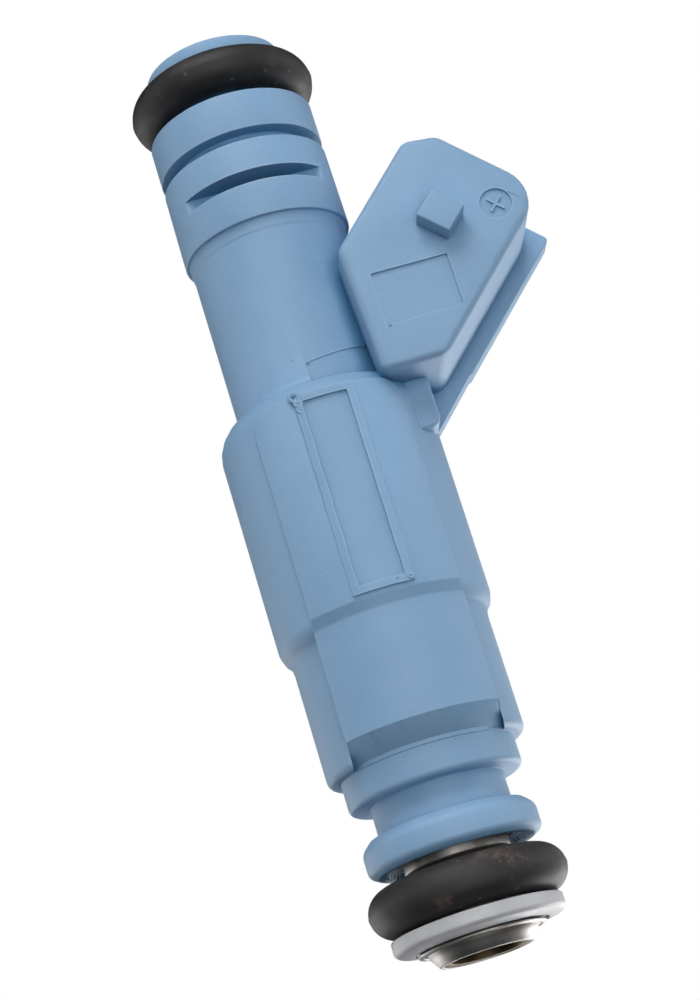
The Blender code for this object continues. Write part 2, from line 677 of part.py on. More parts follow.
def make_solenoid():
    """The bobbin, its winding with two lead ends, and the two yoke straps outside it."""
    barrel = BOBBIN_BORE + BOBBIN_WALL
    upper = COIL_TOP_Z - BOBBIN_FLANGE
    lower = COIL_BOTTOM_Z + BOBBIN_FLANGE
    bobbin = turned("coil_bobbin", [
        (BOBBIN_FLANGE_RADIUS, COIL_TOP_Z),
        (BOBBIN_FLANGE_RADIUS, upper),
        (barrel, upper),
        (barrel, lower),
        (BOBBIN_FLANGE_RADIUS, lower),
        (BOBBIN_FLANGE_RADIUS, COIL_BOTTOM_Z),
        (BOBBIN_BORE, COIL_BOTTOM_Z),
        (BOBBIN_BORE, COIL_TOP_Z),
    ], bobbin_nylon)
    winding_top = upper - SEAT_GAP
    winding = tube("coil_winding", WINDING_RADIUS, barrel + SEAT_GAP, winding_top,
                   lower + SEAT_GAP, copper)
    for side in (-1, 1):
        y = side * BLADE_PITCH / 2
        x = math.sqrt(WINDING_RADIUS ** 2 - y ** 2) - LEAD_INSET
        reach = LEAD_RADIUS + SEAT_GAP
        notch = box(f"lead_notch_{side}", (x - reach, y - reach, upper - OVERLAP),
                    (x + 4 * reach, y + reach, COIL_TOP_Z + OVERLAP))
        combine(bobbin, notch, "DIFFERENCE")
        low = winding_top - LEAD_BURIED
        lead = rod(f"coil_lead_{side}", (x, y, (low + COIL_TOP_Z) / 2), (0, 0, 1), LEAD_RADIUS,
                   COIL_TOP_Z - low + SEAT_GAP, sides=8)
        combine(winding, lead, "UNION")

    top = COIL_TOP_Z + SEAT_GAP
    bottom = COIL_BOTTOM_Z - SEAT_GAP
    inner = YOKE_RADIUS - YOKE_WALL
    for side, name in ((-1, "front_yoke_strap"), (1, "rear_yoke_strap")):
        strap = turned(name, [
            (YOKE_RADIUS, top + YOKE_FLANGE),
            (YOKE_RADIUS, bottom - YOKE_FLANGE),
            (CARRIER_THIN_RADIUS + SEAT_GAP, bottom - YOKE_FLANGE),
            (CARRIER_THIN_RADIUS + SEAT_GAP, bottom),
            (inner, bottom),
            (inner, top),
            (TUBE_RADIUS + SEAT_GAP, top),
            (TUBE_RADIUS + SEAT_GAP, top + YOKE_FLANGE),
        ], yoke_steel)
        reach = sorted((side * YOKE_START, side * 2 * YOKE_RADIUS))
        sector = box(f"{name}_sector", (-YOKE_HALF_WIDTH, reach[0], bottom - 2 * YOKE_FLANGE),
                     (YOKE_HALF_WIDTH, reach[1], top + 2 * YOKE_FLANGE))
        combine(strap, sector, "INTERSECT")


def make_carrier():
    """The valve carrier tube and the non-magnetic ring that joins it to the core."""
    ring_bottom = CARRIER_TOP_Z + SEAT_GAP
    tube("nonmagnetic_ring", CARRIER_THIN_RADIUS, TUBE_RADIUS + SEAT_GAP,
         ring_bottom + RING_LENGTH, ring_bottom, ring_steel)
    turned("valve_carrier", [
        (CARRIER_THIN_RADIUS, CARRIER_TOP_Z),
        (CARRIER_THIN_RADIUS, CARRIER_STEP_Z + CARRIER_STEP),
        (CARRIER_RADIUS, CARRIER_STEP_Z),
        (CARRIER_RADIUS, SEAL_SEAT_TOP_Z + CARRIER_STEP),
        (CARRIER_THIN_RADIUS, SEAL_SEAT_TOP_Z),
        (CARRIER_THIN_RADIUS, LIP_Z),
        (TIP_LIP_RADIUS, LIP_Z),
        (TIP_LIP_RADIUS, LIP_Z - TIP_LIP_EDGE),
        (TIP_CONE_TOP, LIP_Z - TIP_LIP_DROP),
        (TIP_CONE_END, TIP_Z),
        (SEAT_BORE, TIP_Z),
        (SEAT_BORE, SEAT_BORE_Z),
        (NEEDLE_BORE, SEAT_BORE_Z),
        (NEEDLE_BORE, ARMATURE_BORE_Z),
        (ARMATURE_BORE, ARMATURE_BORE_Z),
        (ARMATURE_BORE, CARRIER_TOP_Z),
    ], stainless)


def make_moving_valve():
    """Armature, needle tube and ball, welded together on the real part and moving as one."""
    armature_top = CORE_Z - AIR_GAP
    turned("armature", [
        (ARMATURE_RADIUS, armature_top),
        (ARMATURE_RADIUS, ARMATURE_BOTTOM_Z),
        (NEEDLE_RADIUS + SEAT_GAP, ARMATURE_BOTTOM_Z),
        (NEEDLE_RADIUS + SEAT_GAP, NEEDLE_TOP_Z),
        (SPRING_POCKET, NEEDLE_TOP_Z),
        (SPRING_POCKET, armature_top),
    ], core_steel, segments=SMALL_SEGMENTS)

    weld_height = math.sqrt(BALL_RADIUS ** 2 - NEEDLE_RADIUS ** 2)
    needle = tube("needle_tube", NEEDLE_RADIUS, NEEDLE_RADIUS - NEEDLE_WALL, NEEDLE_TOP_Z,
                  BALL_Z + weld_height + SEAT_GAP, stainless, SMALL_SEGMENTS)
    cross = rod("cross_hole", (0, 0, CROSS_HOLE_Z), (1, 0, 0), CROSS_HOLE_RADIUS, 4 * NEEDLE_RADIUS)
    combine(needle, cross, "DIFFERENCE")

    built = bmesh.new()
    bmesh.ops.create_uvsphere(built, u_segments=24, v_segments=16, radius=BALL_RADIUS * MM)
    for i in range(BALL_FLATS):
        angle = math.tau * i / BALL_FLATS
        outward = Vector((math.cos(angle), math.sin(angle), 0.0))
        cut = bmesh.ops.bisect_plane(
            built, geom=built.verts[:] + built.edges[:] + built.faces[:],
            plane_co=outward * (BALL_RADIUS - BALL_FLAT_DEPTH) * MM, plane_no=outward,
            clear_outer=True,
        )
        edges = [item for item in cut["geom_cut"] if isinstance(item, bmesh.types.BMEdge)]
        bmesh.ops.edgeloop_fill(built, edges=edges)
    bmesh.ops.translate(built, vec=(0, 0, BALL_Z * MM), verts=built.verts)
    bmesh.ops.recalc_face_normals(built, faces=built.faces)
    mesh = bpy.data.meshes.new("valve_ball")
    built.to_mesh(mesh)
    built.free()
    add_object("valve_ball", mesh, stainless)


def make_seat():
    """The seat body, whose cone stops the ball, and the spray plate under it."""
    turned("valve_seat", [
        (SEAT_OUTER, SEAT_TOP_Z),
        (SEAT_OUTER, SEAT_BOTTOM_Z),
        (SEAT_OUTLET, SEAT_BOTTOM_Z),
        (SEAT_OUTLET, CONE_BOTTOM_Z),
        (GUIDE_BORE, CONE_BOTTOM_Z + GUIDE_BORE - SEAT_OUTLET),
        (GUIDE_BORE, SEAT_TOP_Z),
    ], stainless, segments=SMALL_SEGMENTS)

    rim = TIP_Z + PLATE_RIM_RECESS
    spray = turned("orifice_plate", [
        (0.0, PLATE_TOP_Z), (SEAT_OUTER, PLATE_TOP_Z), (SEAT_OUTER, rim),
        (SEAT_OUTER - PLATE_RIM, rim), (SEAT_OUTER - PLATE_RIM, PLATE_BOTTOM_Z),
        (0.0, PLATE_BOTTOM_Z),
    ], bronze, closed=False, segments=SMALL_SEGMENTS)
    for i in range(SPRAY_HOLES):
        angle = math.tau * (i + 0.5) / SPRAY_HOLES
        centre = (SPRAY_PITCH_RADIUS * math.cos(angle), SPRAY_PITCH_RADIUS * math.sin(angle),
                  (PLATE_TOP_Z + PLATE_BOTTOM_Z) / 2)
        hole = rod(f"spray_hole_{i}", centre, (0, 0, 1), SPRAY_HOLE_RADIUS,
                   PLATE_THICKNESS + 2 * OVERLAP, sides=8)
        combine(spray, hole, "DIFFERENCE")


def make_nose_cap():
    """The plastic washer snapped over the tip, which keeps the lower seal ring on."""
    top = -SEAL_SECTION - SEAL_GAP
    hub = LIP_Z + SEAT_GAP
    turned("nose_cap", [
        (CAP_RADIUS - CAP_EDGE, top),
        (CAP_RADIUS, top - CAP_EDGE),
        (CAP_RADIUS, CAP_RIM_Z),
        (CAP_RADIUS - CAP_UNDERSIDE_INSET, CAP_UNDERSIDE_Z),
        (CAP_HUB_RADIUS, CAP_HUB_Z),
        (CAP_HUB_RADIUS, hub),
        (CAP_BORE, hub),
        (CAP_BORE, top),
    ], white_nylon)


for old in list(bpy.data.objects):
    bpy.data.objects.remove(old, do_unlink=True)

parts = make_collection("fuel_injector")
helpers = make_collection("cutters")

blue_nylon = make_material("blue_nylon", (0.22, 0.36, 0.52), 0.5)
rubber = make_material("rubber", (0.02, 0.02, 0.02), 0.45)
white_nylon = make_material("white_nylon", (0.6, 0.62, 0.66), 0.4)
filter_nylon = make_material("filter_nylon", (0.7, 0.66, 0.5), 0.5)
mesh_wire = make_material("mesh_wire", (0.5, 0.5, 0.48), 0.5, 0.8)
bobbin_nylon = make_material("bobbin_nylon", (0.05, 0.05, 0.05), 0.5)
copper = make_material("enamelled_copper", (0.45, 0.14, 0.05), 0.35, 0.9)
tinned_brass = make_material("tinned_brass", (0.7, 0.68, 0.62), 0.3, 1.0)
brass = make_material("brass", (0.6, 0.42, 0.16), 0.3, 1.0)
bronze = make_material("bronze", (0.45, 0.3, 0.12), 0.35, 1.0)
core_steel = make_material("core_steel", (0.45, 0.45, 0.45), 0.35, 1.0)
yoke_steel = make_material("yoke_steel", (0.35, 0.35, 0.36), 0.45, 1.0)
ring_steel = make_material("ring_steel", (0.55, 0.55, 0.53), 0.3, 1.0)
spring_steel = make_material("spring_steel", (0.4, 0.4, 0.4), 0.3, 1.0)
stainless = make_material("stainless", (0.5, 0.5, 0.5), 0.3, 1.0)

make_housing()
make_seal("upper_o_ring", SEAL_SPACING)
make_seal("lower_o_ring", 0.0)
make_nose_cap()
make_inlet()
make_spring_and_adjuster()
make_solenoid()
make_terminals()
make_carrier()
make_moving_valve()
make_seat()
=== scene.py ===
import math

import bmesh
import bpy
from mathutils import Matrix, Vector


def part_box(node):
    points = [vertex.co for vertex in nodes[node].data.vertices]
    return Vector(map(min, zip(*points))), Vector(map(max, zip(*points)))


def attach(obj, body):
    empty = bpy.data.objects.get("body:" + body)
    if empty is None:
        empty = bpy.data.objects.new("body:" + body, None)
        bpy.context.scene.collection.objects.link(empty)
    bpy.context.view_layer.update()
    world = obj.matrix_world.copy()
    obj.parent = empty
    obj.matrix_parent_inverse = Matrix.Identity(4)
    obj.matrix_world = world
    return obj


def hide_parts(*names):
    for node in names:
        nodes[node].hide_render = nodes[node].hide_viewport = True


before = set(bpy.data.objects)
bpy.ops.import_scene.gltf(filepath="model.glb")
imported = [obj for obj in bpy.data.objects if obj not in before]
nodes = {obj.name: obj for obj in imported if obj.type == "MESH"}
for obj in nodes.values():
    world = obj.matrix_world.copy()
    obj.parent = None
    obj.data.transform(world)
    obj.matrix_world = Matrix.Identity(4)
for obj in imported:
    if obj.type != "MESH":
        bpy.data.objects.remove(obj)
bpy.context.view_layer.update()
MM = 0.001
MERGE_WITHIN = 1e-7
SMOOTH_BELOW = math.radians(32)


# ---------------------------------------------------------------- valve carrier
# The tube that holds the valve. It is drawn and turned from stainless steel, and the blue body
# is moulded round its upper part. Its lower lip is rolled out and holds the washer on.

def deselect_all():
    if bpy.context.mode != "OBJECT":
        bpy.ops.object.mode_set(mode="OBJECT")
    bpy.ops.object.select_all(action="DESELECT")


def make_active(obj):
    deselect_all()
    obj.select_set(True)
    bpy.context.view_layer.objects.active = obj


def pick(test):
    """In edit mode, selects the vertices whose place in millimetres passes the test."""
    bpy.ops.mesh.select_mode(type="VERT")
    bpy.ops.mesh.select_all(action="DESELECT")
    mesh = bmesh.from_edit_mesh(bpy.context.object.data)
    for vertex in mesh.verts:
        if test(vertex.co / MM):
            vertex.select_set(True)
    mesh.select_flush(True)
    bmesh.update_edit_mesh(bpy.context.object.data)


def draw_line(name, points, closed=True, corner_steps=4):
    """Draws a line of (x, z) points in millimetres by extruding a vertex, and stays in edit mode.
    A third number at a point rounds that corner."""
    deselect_all()
    bpy.ops.mesh.primitive_plane_add(size=MM)
    obj = bpy.context.object
    obj.name = obj.data.name = name
    bpy.ops.object.mode_set(mode="EDIT")
    bpy.ops.mesh.select_all(action="SELECT")
    bpy.ops.mesh.merge(type="CENTER")
    places = [Vector((p[0], 0, p[1])) * MM for p in points]
    bpy.ops.transform.translate(value=places[0])
    for before, after in zip(places, places[1:]):
        bpy.ops.mesh.extrude_vertices_move(TRANSFORM_OT_translate={"value": after - before})
    if closed:
        ends = (places[0] / MM, places[-1] / MM)
        pick(lambda at: min((at - end).length for end in ends) < 1e-3)
        bpy.ops.mesh.edge_face_add()
    for radius in sorted({p[2] for p in points if len(p) > 2}):
        corners = [Vector((p[0], 0, p[1])) for p in points if len(p) > 2 and p[2] == radius]
        pick(lambda at: min((at - corner).length for corner in corners) < 1e-3)
        bpy.ops.mesh.bevel(
            affect="VERTICES", offset_type="OFFSET", offset=radius * MM,
            segments=corner_steps, profile=0.5,
        )
    return obj


def tidy_faces():
    bpy.ops.mesh.select_all(action="SELECT")
    bpy.ops.mesh.remove_doubles(threshold=MERGE_WITHIN)
    bpy.ops.mesh.normals_make_consistent(inside=False)
    bpy.ops.object.mode_set(mode="OBJECT")


def shade(obj):
    make_active(obj)
    bpy.ops.object.shade_smooth_by_angle(angle=SMOOTH_BELOW)


def turn(name, profile, closed=True, steps=160):
    """A piece turned from a line of (radius, z) points."""
    obj = draw_line(name, profile, closed)
    bpy.ops.mesh.select_all(action="SELECT")
    bpy.ops.mesh.spin(steps=steps, angle=math.tau, center=(0, 0, 0), axis=(0, 0, 1))
    tidy_faces()
    shade(obj)
    return obj


def add_node(tree, kind, inputs=None, **settings):
    """A shader node with its settings, and with its inputs set or linked."""
    made = tree.nodes.new(kind)
    for name, value in settings.items():
        setattr(made, name, value)
    for name, value in (inputs or {}).items():
        if isinstance(value, bpy.types.NodeSocket):
            tree.links.new(value, made.inputs[name])
        else:
            made.inputs[name].default_value = value
    return made


def calculate(tree, operation, a, b):
    return add_node(tree, "ShaderNodeMath", {0: a, 1: b}, operation=operation).outputs[0]


def spread(tree, value, low, high, out_low=0.0, out_high=1.0):
    """Takes a value's range from low to high and spreads it, clamped, over another range."""
    return add_node(
        tree, "ShaderNodeMapRange",
        {"Value": value, "From Min": low, "From Max": high, "To Min": out_low, "To Max": out_high},
    ).outputs["Result"]


def blend_colours(tree, share, first, second):
    mix = add_node(tree, "ShaderNodeMix", data_type="RGBA")
    for index, value in ((0, share), (6, first), (7, second)):
        if isinstance(value, bpy.types.NodeSocket):
            tree.links.new(value, mix.inputs[index])
        else:
            mix.inputs[index].default_value = value
    return mix.outputs[2]


def start_group(name, inputs, outputs):
    """A shader node group whose inputs are {name: usual value} and whose outputs are values."""
    tree = bpy.data.node_groups.new(name, "ShaderNodeTree")
    for title, value in inputs.items():
        socket = tree.interface.new_socket(title, in_out="INPUT", socket_type="NodeSocketFloat")
        socket.default_value = value
    for title in outputs:
        tree.interface.new_socket(title, in_out="OUTPUT", socket_type="NodeSocketFloat")
    return tree, tree.nodes.new("NodeGroupInput").outputs, tree.nodes.new("NodeGroupOutput").inputs


def turning_group():
    """Fine rings left by a lathe: noise that changes along the axis and the radius only."""
    tree, given, out = start_group(
        "turning marks", {"Rings per metre": 9000.0, "Waver": 0.02}, ("Height", "Streaks")
    )
    place = add_node(tree, "ShaderNodeTexCoord").outputs["Object"]
    axes = add_node(tree, "ShaderNodeSeparateXYZ", {0: place}).outputs
    flat = add_node(tree, "ShaderNodeCombineXYZ", {"X": axes["X"], "Y": axes["Y"]}).outputs[0]
    radius = add_node(
        tree, "ShaderNodeVectorMath", {0: flat}, operation="LENGTH"
    ).outputs["Value"]
    around = add_node(
        tree, "ShaderNodeVectorMath", {0: flat, "Scale": given["Waver"]}, operation="SCALE"
    ).outputs[0]
    line = add_node(tree, "ShaderNodeCombineXYZ", {"X": radius, "Z": axes["Z"]}).outputs[0]
    seat = add_node(tree, "ShaderNodeVectorMath", {0: line, 1: around}).outputs[0]
    rings = add_node(
        tree, "ShaderNodeTexNoise",
        {"Vector": seat, "Scale": given["Rings per metre"], "Detail": 3.0},
    ).outputs["Fac"]
    slow = calculate(tree, "MULTIPLY", given["Rings per metre"], 0.12)
    streaks = add_node(
        tree, "ShaderNodeTexNoise", {"Vector": seat, "Scale": slow, "Detail": 2.0}
    ).outputs["Fac"]
    tree.links.new(rings, out["Height"])
    tree.links.new(streaks, out["Streaks"])
    return tree


def grain_group():
    """Fine and coarse noise all over a surface: a moulded or cast skin and its patches."""
    tree, given, out = start_group(
        "skin grain", {"Grains per metre": 5000.0, "Patches per metre": 160.0},
        ("Height", "Patches"),
    )
    place = add_node(tree, "ShaderNodeTexCoord").outputs["Object"]
    fine = add_node(
        tree, "ShaderNodeTexNoise",
        {"Vector": place, "Scale": given["Grains per metre"], "Detail": 4.0, "Roughness": 0.65},
    ).outputs["Fac"]
    wide = add_node(
        tree, "ShaderNodeTexNoise",
        {"Vector": place, "Scale": given["Patches per metre"], "Detail": 5.0, "Roughness": 0.6},
    ).outputs["Fac"]
    tree.links.new(fine, out["Height"])
    tree.links.new(wide, out["Patches"])
    return tree


def edge_group():
    """Where a surface turns over an edge, and where it is shut in by its neighbours."""
    tree, given, out = start_group(
        "edges and corners", {"Edge width": 0.0003, "Reach": 0.0012}, ("Edge", "Open")
    )
    rounded = add_node(
        tree, "ShaderNodeBevel", {"Radius": given["Edge width"]}, samples=4
    ).outputs[0]
    true = add_node(tree, "ShaderNodeNewGeometry").outputs["Normal"]
    same = add_node(
        tree, "ShaderNodeVectorMath", {0: rounded, 1: true}, operation="DOT_PRODUCT"
    ).outputs["Value"]
    apart = spread(tree, same, 0.99, 0.8)
    # Open is ambient occlusion; the materials use it to paint shade into corners and grooves.
    open_sky = add_node(
        tree, "ShaderNodeAmbientOcclusion", {"Distance": given["Reach"]}, samples=4
    ).outputs["AO"]
    convex = spread(tree, open_sky, 0.55, 0.95)
    tree.links.new(calculate(tree, "MULTIPLY", apart, convex), out["Edge"])
    tree.links.new(open_sky, out["Open"])
    return tree


def flecks_group():
    """Scattered small specks, dust and scuffs, as a mask."""
    tree, given, out = start_group(
        "flecks", {"Flecks per metre": 900.0, "Share": 0.1}, ("Mask",)
    )
    place = add_node(tree, "ShaderNodeTexCoord").outputs["Object"]
    cells = add_node(
        tree, "ShaderNodeTexVoronoi", {"Vector": place, "Scale": given["Flecks per metre"]}
    )
    dot = spread(tree, cells.outputs["Distance"], 0.3, 0.12)
    draw = add_node(tree, "ShaderNodeSeparateColor", {0: cells.outputs["Color"]}).outputs[0]
    keep = calculate(tree, "LESS_THAN", draw, given["Share"])
    tree.links.new(calculate(tree, "MULTIPLY", dot, keep), out["Mask"])
    return tree


TURNING, GRAIN, EDGES, FLECKS = turning_group(), grain_group(), edge_group(), flecks_group()


def place_group(tree, group, **values):
    made = tree.nodes.new("ShaderNodeGroup")
    made.node_tree = group
    for name, value in values.items():
        made.inputs[name.replace("_", " ")].default_value = value
    return made.outputs


def start_material(name, **constants):
    """A material and its main shader, with what is the same all over set on the shader itself."""
    material = bpy.data.materials.new(name)
    material.use_nodes = True
    tree = material.node_tree
    shader = tree.nodes["Principled BSDF"]
    for title, value in constants.items():
        shader.inputs[title.replace("_", " ")].default_value = value
    return material, tree, shader.inputs


def add_bump(tree, inputs, height, depth):
    bump = add_node(
        tree, "ShaderNodeBump", {"Height": height, "Distance": depth, "Strength": 1.0}
    )
    tree.links.new(bump.outputs[0], inputs["Normal"])


def turned_metal(name, light, dark, roughness, rings=9000.0, depth=4e-6, tarnish=0.0,
                 worn=(0.7, 0.68, 0.65, 1)):
    """Metal off a lathe: bright and dark rings, dull patches, brighter edges, and painted shade
    that goes nearly black in corners and crevices.
    """
    material, tree, shader = start_material(name, Metallic=1.0)
    marks = place_group(tree, TURNING, Rings_per_metre=rings)
    skin = place_group(tree, GRAIN, Patches_per_metre=700.0)
    edges = place_group(tree, EDGES, Edge_width=0.00012, Reach=0.0015)
    colour = blend_colours(tree, spread(tree, marks["Streaks"], 0.35, 0.65), dark, light)
    stain = calculate(tree, "MULTIPLY", spread(tree, skin["Patches"], 0.45, 0.7), tarnish)
    colour = blend_colours(tree, stain, colour, (0.12, 0.08, 0.045, 1))
    # Painted shade: the colour goes nearly black where ambient occlusion finds the surface closed
    # in, in corners, grooves and crevices.
    shut = calculate(tree, "MULTIPLY", spread(tree, edges["Open"], 0.75, 0.2), 0.7)
    colour = blend_colours(tree, shut, colour, (0.012, 0.01, 0.008, 1))
    colour = blend_colours(tree, calculate(tree, "MULTIPLY", edges["Edge"], 0.7), colour, worn)
    tree.links.new(colour, shader["Base Color"])
    rough = spread(tree, skin["Patches"], 0.3, 0.7, roughness - 0.07, roughness + 0.12)
    tree.links.new(rough, shader["Roughness"])
    add_bump(tree, shader, marks["Height"], depth)
    return material


stainless = turned_metal(
    "stainless steel", (0.5, 0.485, 0.465, 1), (0.3, 0.29, 0.28, 1), 0.46, tarnish=0.45
)

CARRIER_RADIUS = 3.9
SEAL_SEAT_RADIUS = 3.6
CARRIER_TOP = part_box("valve_carrier")[1].z / MM
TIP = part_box("valve_carrier")[0].z / MM
carrier = turn("carrier_tube", [
    (SEAL_SEAT_RADIUS, CARRIER_TOP, 0.08),
    (SEAL_SEAT_RADIUS, 19.3),
    (CARRIER_RADIUS, 19.0),
    (CARRIER_RADIUS, 2.25, 0.08),
    (SEAL_SEAT_RADIUS, 1.95),
    (SEAL_SEAT_RADIUS, TIP + 1.15),
    (4.7, TIP + 1.15, 0.05),
    (4.7, TIP + 1.0, 0.05),
    (4.32, TIP + 0.96),
    (4.25, TIP + 1.02),
    (4.08, TIP + 0.98),
    (4.0, TIP + 0.82, 0.05),
    (3.43, TIP, 0.05),
    (3.15, TIP, 0.03),
    (3.15, 0.9),
    (2.3, 0.9, 0.1),
    (2.3, 14.5, 0.1),
    (3.05, 14.5),
    (3.05, CARRIER_TOP, 0.08),
])
carrier.data.materials.append(stainless)
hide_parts("valve_carrier")
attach(carrier, "injector_body")


# ---------------------------------------------------------------- valve seat and spray plate
# The hardened seat is pressed into the tip. Under it a thin bronze cup with four fine holes
# meters the fuel, and its rolled rim shows as a yellow line inside the steel.

def combine(obj, other, operation):
    """Applies a Boolean of another object, which is then deleted."""
    make_active(obj)
    boolean = obj.modifiers.new("join", "BOOLEAN")
    boolean.operation = operation
    boolean.solver = "EXACT"
    boolean.object = other
    bpy.ops.object.modifier_apply(modifier=boolean.name)
    bpy.data.objects.remove(other)


bronze = turned_metal(
    "bronze", (0.09, 0.065, 0.035, 1), (0.03, 0.022, 0.012, 1), 0.5, tarnish=0.6,
    worn=(0.62, 0.45, 0.2, 1),
)
seat_steel = turned_metal(
    "seat steel", (0.5, 0.48, 0.45, 1), (0.36, 0.34, 0.32, 1), 0.22, rings=14000.0, depth=2e-6
)
nodes["valve_seat"].data.materials[0] = seat_steel

PLATE_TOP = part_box("orifice_plate")[1].z / MM
PLATE_BOTTOM = PLATE_TOP - 0.3
PLATE_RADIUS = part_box("orifice_plate")[1].x / MM
spray_plate = turn("spray_plate", [
    (0.0, PLATE_TOP),
    (PLATE_RADIUS, PLATE_TOP, 0.1),
    (PLATE_RADIUS, TIP + 0.2),
    (3.1, TIP + 0.12, 0.02),
    (3.1, TIP + 0.06, 0.02),
    (PLATE_RADIUS - 0.25, TIP + 0.08, 0.04),
    (PLATE_RADIUS - 0.3, PLATE_BOTTOM, 0.12),
    (0.9, PLATE_BOTTOM, 0.05),
    (0.8, PLATE_BOTTOM + 0.08, 0.03),
    (0.0, PLATE_BOTTOM + 0.08),
], closed=False)
SPRAY_HOLES, HOLE_RADIUS, HOLE_CIRCLE = 4, 0.13, 0.4
for i in range(SPRAY_HOLES):
    turned_by = math.tau * (i + 0.5) / SPRAY_HOLES
    deselect_all()
    bpy.ops.mesh.primitive_cylinder_add(
        vertices=20, radius=HOLE_RADIUS * MM, depth=1.2 * MM, location=(
            HOLE_CIRCLE * MM * math.cos(turned_by), HOLE_CIRCLE * MM * math.sin(turned_by),
            PLATE_TOP * MM,
        ),
    )
    combine(spray_plate, bpy.context.object, "DIFFERENCE")
shade(spray_plate)
spray_plate.data.materials.append(bronze)
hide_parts("orifice_plate")
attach(spray_plate, "injector_body")


# ---------------------------------------------------------------- moving valve
# A soft-iron armature, a drilled steel needle tube and a bearing ball are welded together.
# The coil lifts them off the seat by a tenth of a millimetre, and the spring shuts them again.

soft_iron = turned_metal(
    "soft magnetic steel", (0.42, 0.41, 0.4, 1), (0.26, 0.25, 0.25, 1), 0.38, tarnish=0.2
)
polished = turned_metal(
    "polished steel", (0.72, 0.71, 0.69, 1), (0.6, 0.59, 0.57, 1), 0.12, rings=20000.0, depth=5e-7
)
nodes["armature"].data.materials[0] = soft_iron
nodes["needle_tube"].data.materials[0] = seat_steel
nodes["valve_ball"].data.materials[0] = polished


# ---------------------------------------------------------------- return spring and its sleeve
# The spring is wound from drawn wire with a closed turn at each end. A slotted sleeve that is
# driven down the core tube sets its load.

def drawn_wire(name, colour, roughness):
    """Wire or strip: long fine scratches under a thin film of oil."""
    material, tree, shader = start_material(name, Metallic=1.0)
    skin = place_group(tree, GRAIN, Grains_per_metre=16000.0, Patches_per_metre=1500.0)
    dull = tuple(channel * 0.6 for channel in colour[:3]) + (1,)
    tree.links.new(
        blend_colours(tree, spread(tree, skin["Patches"], 0.35, 0.65), colour, dull),
        shader["Base Color"],
    )
    tree.links.new(
        spread(tree, skin["Patches"], 0.3, 0.7, roughness, roughness + 0.15), shader["Roughness"]
    )
    add_bump(tree, shader, skin["Height"], 2e-6)
    return material


spring_wire = drawn_wire("spring wire", (0.45, 0.43, 0.4, 1), 0.28)
nodes["return_spring"].data.materials[0] = spring_wire
nodes["adjusting_sleeve"].data.materials[0] = spring_wire


# ---------------------------------------------------------------- core tube
# The steel tube runs from the inlet to the coil and is also the magnet's core. Its top is
# chamfered and sits just below the moulding's face. A non-magnetic ring joins it to the carrier.

TUBE_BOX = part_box("inlet_tube")
TUBE_RADIUS = TUBE_BOX[1].x / MM
TUBE_TOP, TUBE_BOTTOM = TUBE_BOX[1].z / MM, TUBE_BOX[0].z / MM
BORE_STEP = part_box("filter_frame")[0].z / MM - 0.3
core_tube = turn("core_tube", [
    (TUBE_RADIUS, TUBE_TOP, 0.12),
    (TUBE_RADIUS, TUBE_BOTTOM, 0.12),
    (TUBE_RADIUS - 1.0, TUBE_BOTTOM, 0.12),
    (TUBE_RADIUS - 1.0, BORE_STEP, 0.1),
    (TUBE_RADIUS - 0.45, BORE_STEP),
    (TUBE_RADIUS - 0.45, TUBE_TOP, 0.15),
], steps=96)
core_tube.data.materials.append(soft_iron)
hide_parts("inlet_tube")
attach(core_tube, "injector_body")
nodes["nonmagnetic_ring"].data.materials[0] = stainless


# ---------------------------------------------------------------- inlet strainer
# A brass collar presses into the mouth of the core tube and carries a nylon frame. Fine woven
# wire in the frame stops dirt before the valve.

brass = turned_metal("brass", (0.78, 0.58, 0.26, 1), (0.6, 0.42, 0.16, 1), 0.25, tarnish=0.25)
COLLAR_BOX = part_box("filter_collar")
COLLAR_RADIUS = COLLAR_BOX[1].x / MM
COLLAR_TOP, COLLAR_BOTTOM = COLLAR_BOX[1].z / MM, COLLAR_BOX[0].z / MM
strainer_collar = turn("strainer_collar", [
    (COLLAR_RADIUS, COLLAR_TOP, 0.12),
    (COLLAR_RADIUS, COLLAR_TOP - 0.55, 0.05),
    (COLLAR_RADIUS - 0.12, COLLAR_TOP - 0.65),
    (COLLAR_RADIUS - 0.12, COLLAR_TOP - 0.9),
    (COLLAR_RADIUS, COLLAR_TOP - 1.0, 0.05),
    (COLLAR_RADIUS, COLLAR_BOTTOM, 0.15),
    (COLLAR_RADIUS - 0.5, COLLAR_BOTTOM, 0.05),
    (COLLAR_RADIUS - 0.5, COLLAR_TOP - 0.3, 0.1),
    (COLLAR_RADIUS - 0.25, COLLAR_TOP, 0.08),
], steps=72)
strainer_collar.data.materials.append(brass)
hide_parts("filter_collar")
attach(strainer_collar, "injector_body")


def moulded_plastic(name, colour, shade_colour, roughness, grains=5000.0, **constants):
    """Injection-moulded plastic: faint cloudy patches, a fine skin and paler edges."""
    material, tree, shader = start_material(name, **constants)
    skin = place_group(tree, GRAIN, Grains_per_metre=grains, Patches_per_metre=260.0)
    edges = place_group(tree, EDGES, Edge_width=0.00022, Reach=0.001)
    base = blend_colours(tree, spread(tree, skin["Patches"], 0.3, 0.7), colour, shade_colour)
    pale = tuple(min(1, channel * 1.25 + 0.04) for channel in colour[:3]) + (1,)
    base = blend_colours(tree, calculate(tree, "MULTIPLY", edges["Edge"], 0.5), base, pale)
    tree.links.new(base, shader["Base Color"])
    tree.links.new(
        spread(tree, skin["Patches"], 0.3, 0.7, roughness - 0.05, roughness + 0.07),
        shader["Roughness"],
    )
    add_bump(tree, shader, skin["Height"], 6e-6)
    return material


natural_nylon = moulded_plastic(
    "natural nylon", (0.72, 0.68, 0.52, 1), (0.66, 0.6, 0.44, 1), 0.45, Subsurface_Weight=0.2,
    Subsurface_Scale=0.0005,
)
nodes["filter_frame"].data.materials[0] = natural_nylon


